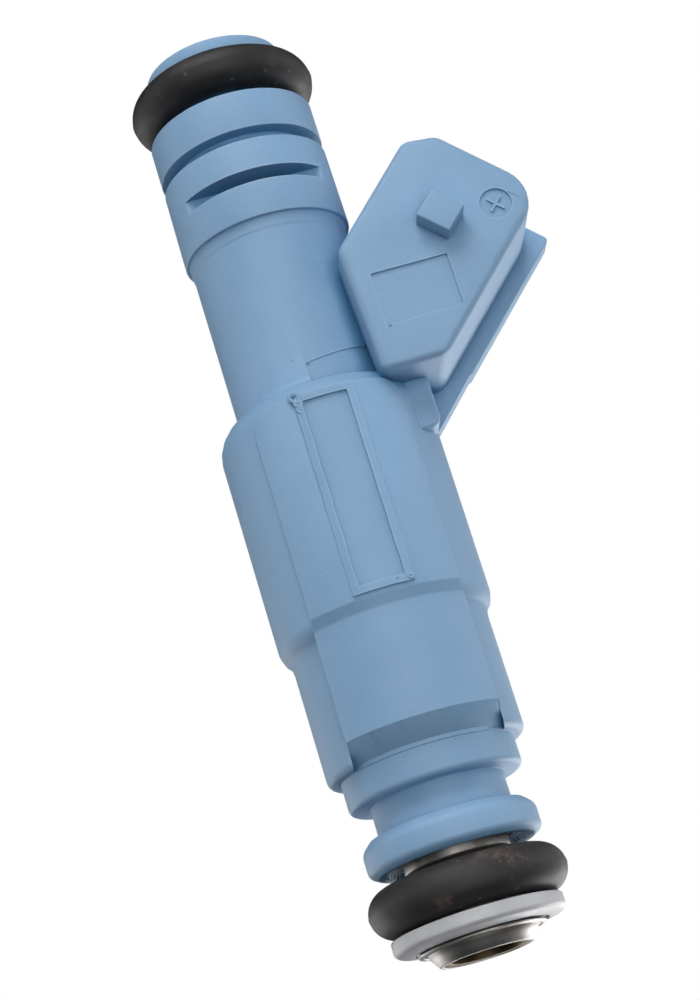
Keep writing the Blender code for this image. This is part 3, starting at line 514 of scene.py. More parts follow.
def woven_wire():
    """Plain-woven steel wire: two crossing sets of fine waves, with painted shade nearly black in
    the dips between the wires.
    """
    material, tree, shader = start_material("woven wire", Metallic=1.0)
    place = add_node(tree, "ShaderNodeTexCoord").outputs["Object"]
    waves = [
        add_node(
            tree, "ShaderNodeTexWave", {"Vector": place, "Scale": 1600.0, "Distortion": 0.4},
            wave_type="BANDS", bands_direction=direction,
        ).outputs["Fac"]
        for direction in ("DIAGONAL", "Z")
    ]
    height = calculate(tree, "MAXIMUM", waves[0], waves[1])
    # Painted shade: the steel goes nearly black in the dips between the wires.
    tree.links.new(
        blend_colours(
            tree, spread(tree, height, 0.3, 0.8), (0.03, 0.03, 0.03, 1), (0.5, 0.49, 0.46, 1)
        ),
        shader["Base Color"],
    )
    tree.links.new(spread(tree, height, 0.0, 1.0, 0.6, 0.25), shader["Roughness"])
    add_bump(tree, shader, height, 4e-5)
    return material


nodes["filter_mesh"].data.materials[0] = woven_wire()


# ---------------------------------------------------------------- solenoid
# Enamelled copper wire is wound on a black nylon bobbin. Two steel straps outside it close the
# magnetic circuit from the core tube to the carrier.

black_nylon = moulded_plastic("black nylon", (0.02, 0.02, 0.022, 1), (0.035, 0.034, 0.036, 1), 0.42)
nodes["coil_bobbin"].data.materials[0] = black_nylon


def wound_wire():
    """Turns of enamelled copper wire, one above the other, with painted shade darkening the grooves
    between the turns.
    """
    material, tree, shader = start_material("enamelled copper wire", Metallic=0.9, Coat_Weight=0.6)
    place = add_node(tree, "ShaderNodeTexCoord").outputs["Object"]
    turns = add_node(
        tree, "ShaderNodeTexWave", {"Vector": place, "Scale": 1200.0},
        wave_type="BANDS", bands_direction="Z",
    ).outputs["Fac"]
    # Painted shade: the copper colour goes dark brown in the grooves between the turns.
    tree.links.new(
        blend_colours(
            tree, spread(tree, turns, 0.2, 0.8), (0.12, 0.03, 0.012, 1), (0.6, 0.2, 0.07, 1)
        ),
        shader["Base Color"],
    )
    tree.links.new(spread(tree, turns, 0.0, 1.0, 0.5, 0.25), shader["Roughness"])
    add_bump(tree, shader, turns, 1e-4)
    return material


nodes["coil_winding"].data.materials[0] = wound_wire()
pressed_strip = drawn_wire("pressed steel strip", (0.34, 0.34, 0.35, 1), 0.4)
nodes["front_yoke_strap"].data.materials[0] = pressed_strip
nodes["rear_yoke_strap"].data.materials[0] = pressed_strip


# ---------------------------------------------------------------- terminal blades
# Two blades stamped from tin-plated brass strip stand side by side in the plug socket. Their
# tips are chamfered all round, and their tails run down to the coil's wires.

CONNECTOR_LEAN = math.radians(45)


def along_connector(along, across, *rounding):
    """(x, z) of a point given along and across the connector's axis, in millimetres."""
    c, s = math.cos(CONNECTOR_LEAN), math.sin(CONNECTOR_LEAN)
    return (along * s + across * c, along * c - across * s, *rounding)


def cut_slab(name, outline, low_y, high_y, corner_steps=4):
    """A block whose side view is an outline of (x, z) points, between two heights along Y."""
    obj = draw_line(name, outline, corner_steps=corner_steps)
    bpy.ops.mesh.select_all(action="SELECT")
    bpy.ops.mesh.edge_face_add()
    bpy.ops.transform.translate(value=(0, low_y * MM, 0))
    bpy.ops.mesh.extrude_region_move(
        TRANSFORM_OT_translate={"value": (0, (high_y - low_y) * MM, 0)}
    )
    tidy_faces()
    return obj


def round_edges(obj, width, steps=3, degrees=30):
    make_active(obj)
    bevel = obj.modifiers.new("edges", "BEVEL")
    bevel.width = width * MM
    bevel.segments = steps
    bevel.limit_method = "ANGLE"
    bevel.angle_limit = math.radians(degrees)
    bpy.ops.object.modifier_apply(modifier=bevel.name)


tin_plate = drawn_wire("tin plate", (0.72, 0.7, 0.64, 1), 0.3)
MOUTH = 47.2
CONNECTOR_UPPER, CONNECTOR_LOWER = -29.8, -18.9
CONNECTOR_MIDDLE = (CONNECTOR_UPPER + CONNECTOR_LOWER) / 2
BLADE_TIP = MOUTH - 3.8
BLADE_SHOULDER = MOUTH - 11.5
BLADE_HALF, TAIL_HALF = 1.4, 0.7
TAIL_X, TAIL_END = 5.4, 34.1
BLADE_SPACING, BLADE_THICKNESS = 5.0, 0.8
bend = TAIL_X * math.sqrt(2) - CONNECTOR_MIDDLE
bend_z = along_connector(bend, CONNECTOR_MIDDLE)[1]
bend_shift = TAIL_HALF * math.tan(CONNECTOR_LEAN / 2)
blade_outline = [
    along_connector(BLADE_TIP, CONNECTOR_MIDDLE - BLADE_HALF, 0.5),
    along_connector(BLADE_SHOULDER, CONNECTOR_MIDDLE - BLADE_HALF, 0.15),
    along_connector(BLADE_SHOULDER, CONNECTOR_MIDDLE - TAIL_HALF),
    (TAIL_X - TAIL_HALF, bend_z + bend_shift),
    (TAIL_X - TAIL_HALF, TAIL_END),
    (TAIL_X + TAIL_HALF, TAIL_END),
    (TAIL_X + TAIL_HALF, bend_z - bend_shift),
    along_connector(BLADE_SHOULDER, CONNECTOR_MIDDLE + TAIL_HALF),
    along_connector(BLADE_SHOULDER, CONNECTOR_MIDDLE + BLADE_HALF, 0.15),
    along_connector(BLADE_TIP, CONNECTOR_MIDDLE + BLADE_HALF, 0.5),
]
for node, side in (("terminal_blade_plus", -1), ("terminal_blade_minus", 1)):
    blade_y = side * BLADE_SPACING / 2
    blade = cut_slab(
        node + "_stamping", blade_outline, blade_y - BLADE_THICKNESS / 2,
        blade_y + BLADE_THICKNESS / 2,
    )
    round_edges(blade, 0.14)
    shade(blade)
    blade.data.materials.append(tin_plate)
    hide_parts(node)
    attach(blade, "injector_body")


# ---------------------------------------------------------------- moulded body
# Blue glass-filled nylon is moulded in one shot round the tube, the coil and the terminals. It
# forms the sealing sleeve with its clip slots, the body with two flat-sided pads, the nose and
# the oblique plug socket with its latch lugs and its stiffening rib.

BODY_STEPS = 192
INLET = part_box("housing_overmould")[1].z / MM
LIP_RADIUS, LIP_UNDERSIDE = 5.4, 66.4
LAND_RADIUS, NECK_RADIUS, BODY_RADIUS, WAIST_RADIUS = 6.47, 6.08, 8.06, 7.35
NOSE_STEP_RADIUS, NOSE_NECK_RADIUS, FLANGE_RADIUS = 6.43, 4.93, 6.42
BODY_BOTTOM = 9.7
SLEEVE_BORE, NOSE_BORE, CAVITY_RADIUS = TUBE_RADIUS + 0.3, CARRIER_RADIUS + 0.3, 7.0
CAVITY_TOP, CAVITY_BOTTOM = 34.95, 19.25
body = turn("moulded_body", [
    (LIP_RADIUS, INLET, 0.3),
    (LIP_RADIUS, LIP_UNDERSIDE, 0.06),
    (SEAL_SEAT_RADIUS, LIP_UNDERSIDE, 0.1),
    (SEAL_SEAT_RADIUS, 61.9, 0.1),
    (LAND_RADIUS, 61.9, 0.12),
    (LAND_RADIUS, 58.7, 0.06),
    (5.27, 58.7, 0.15),
    (5.27, 57.75, 0.15),
    (LAND_RADIUS, 57.75, 0.06),
    (LAND_RADIUS + 0.05, 51.38, 0.1),
    (6.22, 51.36, 0.06),
    (6.17, 50.5, 0.06),
    (6.12, 50.35, 0.06),
    (NECK_RADIUS, 37.8, 0.4),
    (BODY_RADIUS, 37.0, 1.65),
    (8.04, 20.15, 0.25),
    (7.8, 19.5),
    (7.45, 19.12, 0.2),
    (WAIST_RADIUS, 18.5),
    (WAIST_RADIUS, BODY_BOTTOM, 0.55),
    (NOSE_STEP_RADIUS, BODY_BOTTOM, 0.1),
    (NOSE_STEP_RADIUS, 7.45, 0.4),
    (NOSE_NECK_RADIUS, 7.45, 0.08),
    (NOSE_NECK_RADIUS, 5.2, 0.25),
    (5.75, 5.12),
    (FLANGE_RADIUS, 4.5, 0.35),
    (6.4, 2.9, 0.25),
    (5.75, 2.52, 0.12),
    (5.1, 2.62),
    (4.75, 3.3),
    (NOSE_BORE, 3.3),
    (NOSE_BORE, CAVITY_BOTTOM),
    (CAVITY_RADIUS, CAVITY_BOTTOM),
    (CAVITY_RADIUS, CAVITY_TOP),
    (SLEEVE_BORE, CAVITY_TOP),
    (SLEEVE_BORE, INLET, 0.12),
], steps=BODY_STEPS)


def add_block(name, low, high):
    """A cube primitive stretched between two corners in millimetres."""
    deselect_all()
    middle = [(a + b) / 2 * MM for a, b in zip(low, high)]
    bpy.ops.mesh.primitive_cube_add(size=1.0, location=middle)
    obj = bpy.context.object
    obj.name = name
    obj.scale = [(b - a) * MM for a, b in zip(low, high)]
    bpy.ops.object.transform_apply(location=True, rotation=True, scale=True)
    return obj


PAD_HALF, PAD_TOP = 5.5, 36.2
PAD_RADIUS, LOWER_PAD_RADIUS = 8.41, 8.0
for side in (-1, 1):
    pad = turn("pad", [
        (7.42, PAD_TOP),
        (PAD_RADIUS, PAD_TOP),
        (PAD_RADIUS, 20.38, 0.1),
        (LOWER_PAD_RADIUS, 19.58, 0.1),
        (LOWER_PAD_RADIUS, 11.4, 0.1),
        (6.55, 10.0),
        (6.35, 10.0),
        (6.35, 18.2),
        (7.42, 19.6),
    ], steps=BODY_STEPS)
    width = cut_slab("pad_width", [
        (-PAD_HALF, 9.0), (PAD_HALF, 9.0), (PAD_HALF, PAD_TOP - 0.02, 1.3),
        (-PAD_HALF, PAD_TOP - 0.02, 1.3),
    ], *sorted((side * 3.0, side * 9.5)), corner_steps=8)
    combine(pad, width, "INTERSECT")
    round_edges(pad, 0.13, steps=2, degrees=28)
    combine(body, pad, "UNION")

# Below each pad the mould's slide leaves one long chamfer, which runs across the pad and the
# body's lower corner.
for side in (-1, 1):
    chamfer = turn("chamfer", [
        (LOWER_PAD_RADIUS, 11.45), (6.52, 9.97), (6.52, 9.5), (9.2, 9.5), (9.2, 11.45),
    ], steps=BODY_STEPS)
    reach = sorted((side * 3.0, side * 9.5))
    window = add_block("window", (-PAD_HALF, reach[0], 9.0), (PAD_HALF, reach[1], 12.0))
    combine(chamfer, window, "INTERSECT")
    combine(body, chamfer, "DIFFERENCE")

SHROUD_HALF, SHROUD_EDGE, MOUTH_CORNER = 8.6, 0.6, 2.9
SOCKET_WALL, SOCKET_HALF, SOCKET_DEPTH = 1.35, 7.1, 11.0
shroud = cut_slab("shroud", [
    (4.05, 4.05 - CONNECTOR_UPPER * math.sqrt(2)),
    (4.55, 36.1),
    (36.1 + CONNECTOR_LOWER * math.sqrt(2), 36.1),
    along_connector(MOUTH, CONNECTOR_LOWER, MOUTH_CORNER),
    along_connector(MOUTH, CONNECTOR_UPPER + 2.0),
    along_connector(MOUTH - 1.6, CONNECTOR_UPPER),
], -SHROUD_HALF, SHROUD_HALF, corner_steps=8)
round_edges(shroud, SHROUD_EDGE, steps=5, degrees=25)
combine(body, shroud, "UNION")

RIB_HEIGHT, RIB_HALF, RIB_END = 1.25, 1.0, MOUTH - 0.15
rib = cut_slab("rib", [
    along_connector(RIB_END, CONNECTOR_LOWER - 1.0),
    along_connector(MOUTH - 11.0, CONNECTOR_LOWER - 1.0),
    (7.5, 36.6),
    (7.5, 32.5),
    along_connector(34.25, CONNECTOR_LOWER + 1.14),
    along_connector(34.4, CONNECTOR_LOWER + RIB_HEIGHT),
    along_connector(RIB_END, CONNECTOR_LOWER + RIB_HEIGHT, 0.35),
], -RIB_HALF, RIB_HALF)
round_edges(rib, 0.22, degrees=20)
combine(body, rib, "UNION")

FOOT_BOTTOM, FOOT_REACH, FOOT_HALF = 32.3, 7.95, 5.0
foot = cut_slab("foot", [
    (4.6, FOOT_BOTTOM), (FOOT_REACH, FOOT_BOTTOM, 0.7), (FOOT_REACH, 37.0), (4.6, 37.0),
], -FOOT_HALF, FOOT_HALF, corner_steps=6)
round_edges(foot, 0.22, steps=4, degrees=40)
combine(body, foot, "UNION")

LUG_START, LUG_END, LUG_HALF, LUG_TOP = 40.0, 42.4, 1.35, 10.3
for side in (-1, 1):
    lug = cut_slab("lug", [
        along_connector(LUG_START, CONNECTOR_MIDDLE - LUG_HALF, 0.12),
        along_connector(LUG_START, CONNECTOR_MIDDLE + LUG_HALF, 0.12),
        along_connector(LUG_END, CONNECTOR_MIDDLE + LUG_HALF, 0.12),
        along_connector(LUG_END, CONNECTOR_MIDDLE - LUG_HALF, 0.12),
    ], *sorted((side * 8.2, side * LUG_TOP)))
    round_edges(lug, 0.16)
    combine(body, lug, "UNION")

socket = cut_slab("socket", [
    along_connector(MOUTH - SOCKET_DEPTH, CONNECTOR_UPPER + SOCKET_WALL, 0.6),
    along_connector(MOUTH - SOCKET_DEPTH, CONNECTOR_LOWER - SOCKET_WALL, 0.6),
    along_connector(MOUTH + 5.0, CONNECTOR_LOWER - SOCKET_WALL),
    along_connector(MOUTH + 5.0, CONNECTOR_UPPER + SOCKET_WALL),
], -SOCKET_HALF, SOCKET_HALF)
round_edges(socket, 0.5, steps=4)
combine(body, socket, "DIFFERENCE")
CHANNEL_HALF = 0.7
for side in (-1, 1):
    channel_y = side * BLADE_SPACING / 2
    channel = cut_slab("channel", [
        along_connector(MOUTH - 10.5, CONNECTOR_MIDDLE - 1.7),
        along_connector(BLADE_SHOULDER - 0.3, CONNECTOR_MIDDLE - 1.7),
        along_connector(BLADE_SHOULDER - 0.3, CONNECTOR_MIDDLE - 1.0),
        (TAIL_X - 1.0, bend_z + bend_shift),
        (TAIL_X - 1.0, 33.8),
        (TAIL_X + 1.0, 33.8),
        (TAIL_X + 1.0, bend_z - bend_shift),
        along_connector(BLADE_SHOULDER - 0.3, CONNECTOR_MIDDLE + 1.0),
        along_connector(BLADE_SHOULDER - 0.3, CONNECTOR_MIDDLE + 1.7),
        along_connector(MOUTH - 10.5, CONNECTOR_MIDDLE + 1.7),
    ], channel_y - CHANNEL_HALF, channel_y + CHANNEL_HALF)
    combine(body, channel, "DIFFERENCE")

# The clip slots have flat floors, so each is a crescent with pointed ends.
SLOT_LOW, SLOT_HIGH, SLOT_FLOOR = 54.2, 55.25, 3.75
for side in (-1, 1):
    reach = sorted((side * SLOT_FLOOR, side * 12.0))
    slot = add_block("clip_slot", (-12, reach[0], SLOT_LOW), (12, reach[1], SLOT_HIGH))
    combine(body, slot, "DIFFERENCE")

# The date panel beside the plug socket is a shallow plain recess, and the polarity mark by the
# mouth is a recessed disc with a raised plus. Small pits are where the mould vented.
for side in (-1, 1):
    panel = cut_slab("panel", [
        (5.8, 39.4, 0.1), (11.6, 39.5, 0.1), (11.6, 43.6, 0.1), (5.8, 43.6, 0.1),
    ], *sorted((side * 8.45, side * 9.5)))
    combine(body, panel, "DIFFERENCE")


def add_rod(name, place, radius, length, axis="Y", sides=24):
    """A round rod primitive centred on a place in millimetres, along one axis."""
    turned = {"X": (0, math.pi / 2, 0), "Y": (math.pi / 2, 0, 0), "Z": (0, 0, 0)}[axis]
    deselect_all()
    bpy.ops.mesh.primitive_cylinder_add(
        vertices=sides, radius=radius * MM, depth=length * MM, location=Vector(place) * MM,
        rotation=turned,
    )
    obj = bpy.context.object
    obj.name = name
    bpy.ops.object.transform_apply(location=True, rotation=True, scale=True)
    return obj


def cut_bar(name, middle, length, width, low_y, high_y, lean=CONNECTOR_LEAN):
    """A bar lying in a face of the plug socket, centred on (x, z) and leaning from the x axis."""
    run = Vector((math.cos(lean), math.sin(lean))) * length / 2
    rise = Vector((-math.sin(lean), math.cos(lean))) * width / 2
    centre = Vector(middle)
    corners = [centre - run - rise, centre + run - rise, centre + run + rise, centre - run + rise]
    return cut_slab(name, [tuple(corner) for corner in corners], low_y, high_y)


MARK, MARK_RADIUS = (16.24, 46.42), 1.2
for side in (-1, 1):
    disc = add_rod("mark", (MARK[0], side * SHROUD_HALF, MARK[1]), MARK_RADIUS, 0.3, sides=48)
    for lean in (CONNECTOR_LEAN, -CONNECTOR_LEAN):
        if side == 1 and lean < 0:
            continue
        stroke = cut_bar("stroke", MARK, 1.5, 0.2, *sorted((side * 8.55, side * 9.0)), lean=lean)
        combine(disc, stroke, "DIFFERENCE")
    combine(body, disc, "DIFFERENCE")
    line = cut_bar(
        "joint_line", (18.0, 46.4), 1.9, 0.07, *sorted((side * 8.57, side * 9.0)),
        lean=-CONNECTOR_LEAN,
    )
    combine(body, line, "DIFFERENCE")
    for place, radius in (((14.01, 41.2), 0.12), ((6.0, 39.25), 0.14)):
        pit = add_rod("pit", (place[0], side * SHROUD_HALF, place[1]), radius, 0.16)
        combine(body, pit, "DIFFERENCE")

# The label frame on the front pad is a raised bead round a plain field. It follows a worn
# groove in the mould, so its bars waver a little, and flash has curled up at one corner.
FRAME_LEFT, FRAME_RIGHT, FRAME_LOW, FRAME_HIGH = -2.3, 2.2, 20.68, 36.14
BEAD_WIDTH, BEAD_RADIUS = 0.58, 8.61


def wavy_rectangle(inset):
    """Points round the label frame, with its two long sides wavering."""
    count = 22
    low, high = FRAME_LOW + inset, FRAME_HIGH - inset
    levels = [low + (high - low) * i / count for i in range(count + 1)]

    def waver(level, phase, amount):
        return amount * (math.sin(1.7 * level + phase) + 0.6 * math.sin(4.1 * level + 2 * phase))

    right_side = [
        (FRAME_RIGHT - inset + waver(z, 0.4 + 2 * inset, 0.012), z) for z in levels
    ]
    left_side = [
        (FRAME_LEFT + inset + waver(z, 2.1 + 2 * inset, 0.02), z) for z in reversed(levels)
    ]
    return right_side + left_side


ring = turn("bead", [
    (8.25, 36.19), (BEAD_RADIUS, 36.19), (BEAD_RADIUS, 20.6), (8.25, 20.6),
], steps=BODY_STEPS)
bead = cut_slab("bead_outline", wavy_rectangle(0.0), -9.2, -7.0)
field = cut_slab("bead_field", wavy_rectangle(BEAD_WIDTH), -9.4, -6.8)
combine(bead, field, "DIFFERENCE")
combine(bead, ring, "INTERSECT")
round_edges(bead, 0.12, steps=3, degrees=50)
combine(body, bead, "UNION")


def add_curl(place, radius, thickness, squash):
    """A curl of flash: a torus primitive flattened against the pad and pulled out of round."""
    deselect_all()
    bpy.ops.mesh.primitive_torus_add(
        major_segments=28, minor_segments=10, major_radius=radius * MM,
        minor_radius=thickness * MM, location=Vector(place) * MM, rotation=(math.pi / 2, 0, 0),
    )
    obj = bpy.context.object
    bpy.ops.object.transform_apply(location=True, rotation=True, scale=True)
    bpy.ops.object.mode_set(mode="EDIT")
    bpy.ops.mesh.select_all(action="SELECT")
    bpy.ops.transform.resize(value=squash, center_override=Vector(place) * MM)
    pick(lambda at: at.x < place[0] - radius * 0.4)
    bpy.ops.transform.translate(value=(-0.1 * MM, 0, 0.12 * MM))
    bpy.ops.object.mode_set(mode="OBJECT")
    return obj


for place, radius, thickness in (
    ((-2.1, -8.27, 35.95), 0.3, 0.16),
    ((-1.95, -8.3, 35.4), 0.2, 0.14),
    ((-2.0, -8.32, 34.9), 0.12, 0.11),
    ((1.95, -8.36, 20.95), 0.12, 0.12),
):
    combine(body, add_curl(place, radius, thickness, (1.0, 1.0, 1.1)), "UNION")
combine(body, add_rod("pit", (1.0, -8.6, 20.98), 0.11, 0.2), "DIFFERENCE")

# A shallow panel on the neck runs to the plug socket, and a low step shows where the socket's
# slide closed on the sleeve.
panel_ring = turn("panel_ring", [
    (6.02, 41.0), (6.6, 41.0), (6.6, 37.0), (6.02, 37.0),
], steps=BODY_STEPS)
panel = cut_slab("neck_panel", [
    (-0.43, 37.0), (4.6, 37.0), (4.6, 40.0), (4.17, 39.95), (-0.43, 39.2),
], -8.0, 0.0)
combine(panel, panel_ring, "INTERSECT")
combine(body, panel, "DIFFERENCE")
step_ring = turn("step_ring", [
    (5.9, 47.3), (6.15, 47.3), (6.12, 46.9), (5.9, 46.8),
], steps=BODY_STEPS)
step = cut_slab("slide_step", [(2.4, 40.2), (6.0, 40.2), (6.0, 47.5), (2.4, 47.5)], -8.0, 8.0)
combine(step, step_ring, "INTERSECT")
combine(body, step, "UNION")

for place, radius, depth in (
    ((-0.3, -6.1, 39.05), 0.15, 0.3),
    ((-1.35, -5.95, 39.7), 0.07, 0.15),
    ((1.7, -6.35, 56.9), 0.11, 0.16),
    ((-3.4, -7.7, 23.3), 0.07, 0.15),
):
    combine(body, add_rod("pit", place, radius, depth), "DIFFERENCE")

# A nib of flash stands up on the shoulder.
nib = add_rod("nib", (-4.24, -4.6, 37.5), 0.16, 1.1, axis="Z", sides=12)
nib_tip = Vector((-4.35, -4.7, 38.05)) * MM
bpy.ops.object.mode_set(mode="EDIT")
pick(lambda at: at.z > 37.9)
bpy.ops.transform.resize(value=(0.35, 0.35, 1.0), center_override=nib_tip)
bpy.ops.object.mode_set(mode="OBJECT")
combine(body, nib, "UNION")

# Grip teeth are cut round the underside of the nose flange.
TEETH = 56
NOTCH_PLACE, NOTCH_SIZE = Vector((5.0, 0, 2.75)), Vector((0.75, 0.2, 0.45))
notches = None
for i in range(TEETH):
    turned_by = math.tau * i / TEETH
    deselect_all()
    bpy.ops.mesh.primitive_cube_add(size=1.0, location=NOTCH_PLACE * MM)
    notch = bpy.context.object
    notch.scale = NOTCH_SIZE * MM
    bpy.ops.object.transform_apply(location=True, rotation=True, scale=True)
    notch.rotation_euler = (0, 0, turned_by)
    bpy.ops.object.transform_apply(location=True, rotation=True, scale=True)
    if notches is None:
        notches = notch
    else:
        notches.select_set(True)
        bpy.context.view_layer.objects.active = notches
        bpy.ops.object.join()
combine(body, notches, "DIFFERENCE")

shade(body)


def blue_nylon():
    """Glass-filled nylon: cloudy blue, pale specks of glass, scuffs on edges, and painted shade in
    corners and grooves.
    """
    material, tree, shader = start_material("blue nylon", IOR=1.5, Specular_IOR_Level=0.42)
    skin = place_group(tree, GRAIN, Grains_per_metre=4200.0, Patches_per_metre=230.0)
    specks = place_group(tree, FLECKS, Flecks_per_metre=3600.0, Share=0.1)
    edges = place_group(tree, EDGES, Edge_width=0.00028, Reach=0.0016)
    patches = spread(tree, skin["Patches"], 0.3, 0.7)
    colour = blend_colours(tree, patches, (0.196, 0.345, 0.53, 1), (0.216, 0.37, 0.562, 1))
    fine = calculate(tree, "MULTIPLY", spread(tree, skin["Height"], 0.35, 0.65), 0.1)
    colour = blend_colours(tree, fine, colour, (0.36, 0.5, 0.64, 1))
    colour = blend_colours(
        tree, calculate(tree, "MULTIPLY", specks["Mask"], 0.08), colour, (0.5, 0.62, 0.72, 1)
    )
    wear = spread(tree, skin["Patches"], 0.3, 0.6, 0.2, 0.6)
    worn = calculate(tree, "MULTIPLY", edges["Edge"], wear)
    colour = blend_colours(tree, worn, colour, (0.4, 0.56, 0.7, 1))
    # Painted shade: corners, grooves and recesses turn deep blue where ambient occlusion finds them
    # closed in, standing in for shade and blue light bounced inside them.
    shut = calculate(tree, "MULTIPLY", spread(tree, edges["Open"], 0.8, 0.25), 0.8)
    colour = blend_colours(tree, shut, colour, (0.04, 0.19, 0.36, 1))
    tree.links.new(colour, shader["Base Color"])
    tree.links.new(spread(tree, skin["Patches"], 0.3, 0.7, 0.46, 0.58), shader["Roughness"])
    add_bump(tree, shader, skin["Height"], 1.6e-5)
    return material


body.data.materials.clear()
body.data.materials.append(blue_nylon())
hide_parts("housing_overmould")
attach(body, "injector_body")


# ---------------------------------------------------------------- seal rings
# Both rings are moulded from black fluorocarbon rubber and stretched into place. The mould
# leaves a thin parting line round the outside, and handling leaves brown and grey scuffs.

def seal_rubber(name, base_colour, scuff_colour, scuff_share):
    material, tree, shader = start_material(name, IOR=1.5, Specular_IOR_Level=0.4)
    skin = place_group(tree, GRAIN, Grains_per_metre=7000.0, Patches_per_metre=420.0)
    dust = place_group(tree, FLECKS, Flecks_per_metre=1500.0, Share=0.1)
    colour = blend_colours(
        tree, spread(tree, skin["Patches"], 0.35, 0.7), base_colour, (0.03, 0.027, 0.026, 1)
    )
    scuffs = calculate(tree, "MULTIPLY", spread(tree, skin["Patches"], 0.58, 0.72), scuff_share)
    rubbed = calculate(tree, "MULTIPLY", scuffs, spread(tree, skin["Height"], 0.4, 0.65))
    colour = blend_colours(tree, rubbed, colour, scuff_colour)
    colour = blend_colours(
        tree, calculate(tree, "MULTIPLY", dust["Mask"], 0.3), colour, (0.2, 0.19, 0.18, 1)
    )
    tree.links.new(colour, shader["Base Color"])
    tree.links.new(spread(tree, skin["Patches"], 0.3, 0.7, 0.5, 0.66), shader["Roughness"])
    add_bump(tree, shader, skin["Height"], 1.2e-5)
    return material


RIDGE = 0.035


def stretch_ring(name, node, material, drop=0.0, thinner=0.0):
    """A ring with its parting line, on a CAD seal's circle. It can sit lower and be flatter."""
    low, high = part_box(node)
    outer = high.x / MM
    section = (high.z - low.z) / 2 / MM
    level = (high.z + low.z) / 2 / MM - drop
    profile = []
    count = 44
    for i in range(count):
        angle = math.tau * i / count
        ridge = RIDGE if i in (0, count // 2) else 0.0
        radius = section - RIDGE + ridge
        profile.append((
            outer - section + radius * math.cos(angle),
            level + (radius - thinner) * math.sin(angle),
        ))
    ring = turn(name, profile, steps=180)
    ring.data.materials.append(material)
    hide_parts(node)
    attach(ring, "injector_body")
    return ring


stretch_ring(
    "rail_seal", "upper_o_ring", seal_rubber(
        "rail seal rubber", (0.012, 0.012, 0.013, 1), (0.12, 0.09, 0.07, 1), 0.35
    ),
    drop=0.3, thinner=0.1,
)
stretch_ring(
    "manifold_seal", "lower_o_ring", seal_rubber(
        "manifold seal rubber", (0.021, 0.019, 0.019, 1), (0.24, 0.16, 0.13, 1), 0.7
    ),
)


# ---------------------------------------------------------------- nose washer
# The washer is turned from off-white nylon and snapped over the tip under the lower ring. Thin
# parts of it let light through.

WASHER_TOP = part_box("nose_cap")[1].z / MM
WASHER_RADIUS, WASHER_BORE, RECESS_RADIUS = 6.29, 3.9, 4.9
washer = turn("nose_washer", [
    (WASHER_RADIUS, WASHER_TOP, 0.12),
    (WASHER_RADIUS, TIP + 1.7, 0.1),
    (6.02, TIP + 1.45, 0.1),
    (RECESS_RADIUS, TIP + 1.22, 0.06),
    (RECESS_RADIUS, TIP + 1.45, 0.05),
    (WASHER_BORE, TIP + 1.45, 0.05),
    (WASHER_BORE, WASHER_TOP, 0.08),
])
washer.data.materials.append(moulded_plastic(
    "off-white nylon", (0.54, 0.55, 0.58, 1), (0.44, 0.45, 0.46, 1), 0.42, grains=3000.0,
    Subsurface_Weight=0.35, Subsurface_Scale=0.0012, Subsurface_Radius=(1.0, 0.9, 0.8),
))
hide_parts("nose_cap")
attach(washer, "injector_body")


# ---------------------------------------------------------------- studio
# A plain pale floor lies well below the injector, and soft lights hang round it on all sides.
# The camera looks up from a little below. The floor glows faintly, so that it stays pale from
# every side, and neither shows in the injector nor throws light on it.

FLOOR_LEVEL, FLOOR_WIDTH, FLOOR_GLOW = -0.6, 6.0, 0.75
deselect_all()
bpy.ops.mesh.primitive_grid_add(
    x_subdivisions=8, y_subdivisions=8, size=FLOOR_WIDTH, location=(0, 0, FLOOR_LEVEL)
)
floor = bpy.context.object
floor.name = "studio_floor"
paint, paint_tree, paint_shader = start_material(
    "floor paint", Roughness=0.8, Emission_Strength=FLOOR_GLOW
)
paint_skin = place_group(paint_tree, GRAIN, Grains_per_metre=300.0, Patches_per_metre=4.0)
paint_tree.links.new(
    blend_colours(
        paint_tree, paint_skin["Patches"], (0.78, 0.78, 0.77, 1), (0.82, 0.82, 0.81, 1)
    ),
    paint_shader["Base Color"],
)
floor.data.materials.append(paint)
floor.visible_diffuse = False
floor.visible_glossy = False

AIM = Vector((0.28, 0.0, 30.15)) * MM
VIEW_DISTANCE = 170.57 * MM
VIEW_AZIMUTH = math.radians(5.43)
VIEW_ELEVATION = math.radians(-17.57)
VIEW_ROLL = math.radians(17.34)
VIEW_LENS = 82.73
forward = Vector((
    math.sin(VIEW_AZIMUTH) * math.cos(VIEW_ELEVATION),
    math.cos(VIEW_AZIMUTH) * math.cos(VIEW_ELEVATION),
    -math.sin(VIEW_ELEVATION),
))
level_right = forward.cross(Vector((0, 0, 1))).normalized()
level_up = level_right.cross(forward)
right = math.cos(VIEW_ROLL) * level_right - math.sin(VIEW_ROLL) * level_up
up = math.sin(VIEW_ROLL) * level_right + math.cos(VIEW_ROLL) * level_up


def look(obj, place, toward, top):
    """Puts a camera or a light at a place, facing a direction, with its top turned one way."""
    back = -toward.normalized()
    side = top.cross(back).normalized()
    head = back.cross(side)
    obj.matrix_world = Matrix((
        (side.x, head.x, back.x, place.x),
        (side.y, head.y, back.y, place.y),
        (side.z, head.z, back.z, place.z),
        (0, 0, 0, 1),
    ))


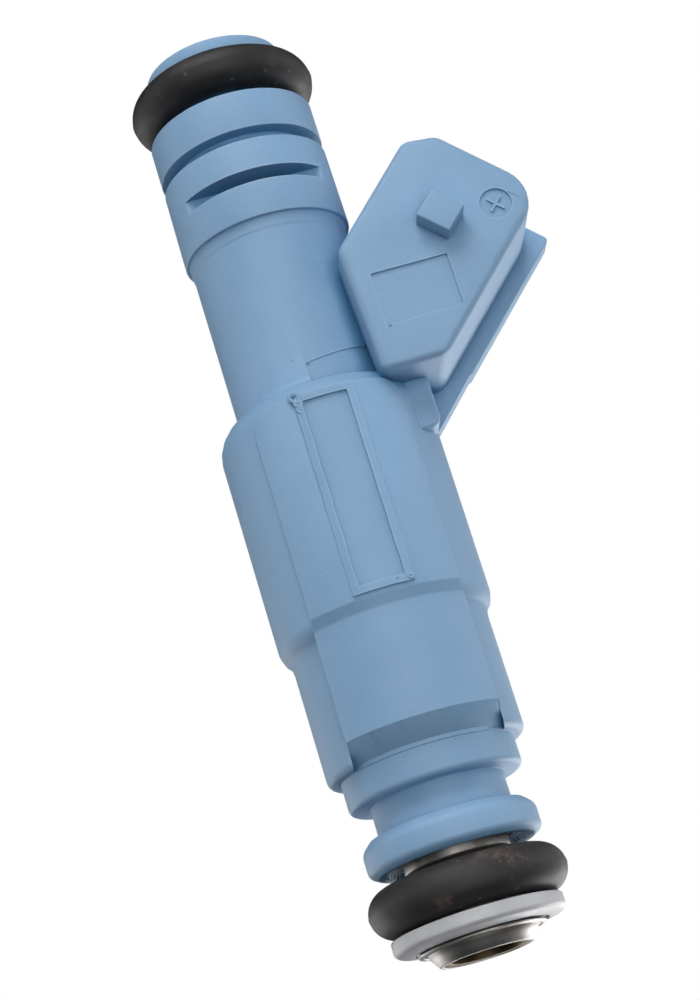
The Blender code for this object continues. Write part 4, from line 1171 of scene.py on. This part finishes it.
view_camera = bpy.data.cameras.new("camera")
view_camera.lens = VIEW_LENS
view_camera.sensor_width = 36.0
view_camera.clip_start = 0.005
camera = bpy.data.objects.new("camera", view_camera)
bpy.context.scene.collection.objects.link(camera)
look(camera, AIM - forward * VIEW_DISTANCE, forward, up)
bpy.context.scene.camera = camera


LIGHT_SIZE = 0.45


def hang_light(name, sideways, upward, backward, power):
    """A soft square light aimed at the injector, placed by its distances in metres from it."""
    lamp = bpy.data.lights.new(name, "AREA")
    lamp.energy = power
    lamp.size = LIGHT_SIZE
    obj = bpy.data.objects.new(name, lamp)
    bpy.context.scene.collection.objects.link(obj)
    place = AIM + right * sideways + up * upward - forward * backward
    look(obj, place, AIM - place, forward)


hang_light("key light", -0.2, 0.55, 0.2, 3.0)
hang_light("front light", 0.05, 0.1, 0.6, 2.0)
hang_light("right light", 0.55, 0.25, 0.0, 1.4)
hang_light("left light", -0.6, -0.05, 0.0, 0.8)
hang_light("right rim light", 0.4, -0.05, -0.4, 0.7)
hang_light("low right rim light", 0.35, -0.35, -0.35, 3.0)
hang_light("low left rim light", -0.35, -0.35, -0.35, 1.6)

world = bpy.data.worlds.new("studio")
bpy.context.scene.world = world
world.use_nodes = True
sky = world.node_tree
sky.nodes.clear()
direction = add_node(sky, "ShaderNodeTexCoord").outputs["Generated"]
height = add_node(
    sky, "ShaderNodeVectorMath", {0: direction, 1: up}, operation="DOT_PRODUCT"
).outputs["Value"]
level = spread(sky, height, -0.6, 0.7)
glow = blend_colours(sky, level, (0.02, 0.022, 0.026, 1), (0.03, 0.031, 0.032, 1))
surround = add_node(sky, "ShaderNodeBackground", {"Color": glow, "Strength": 1.0})
backdrop = add_node(sky, "ShaderNodeBackground", {"Color": (1, 1, 1, 1), "Strength": 1.0})
seen = add_node(sky, "ShaderNodeLightPath").outputs["Is Camera Ray"]
both = add_node(
    sky, "ShaderNodeMixShader", {0: seen, 1: surround.outputs[0], 2: backdrop.outputs[0]}
)
add_node(sky, "ShaderNodeOutputWorld", {"Surface": both.outputs[0]})

bpy.context.scene.view_settings.view_transform = "Standard"
bpy.context.scene.view_settings.look = "None"
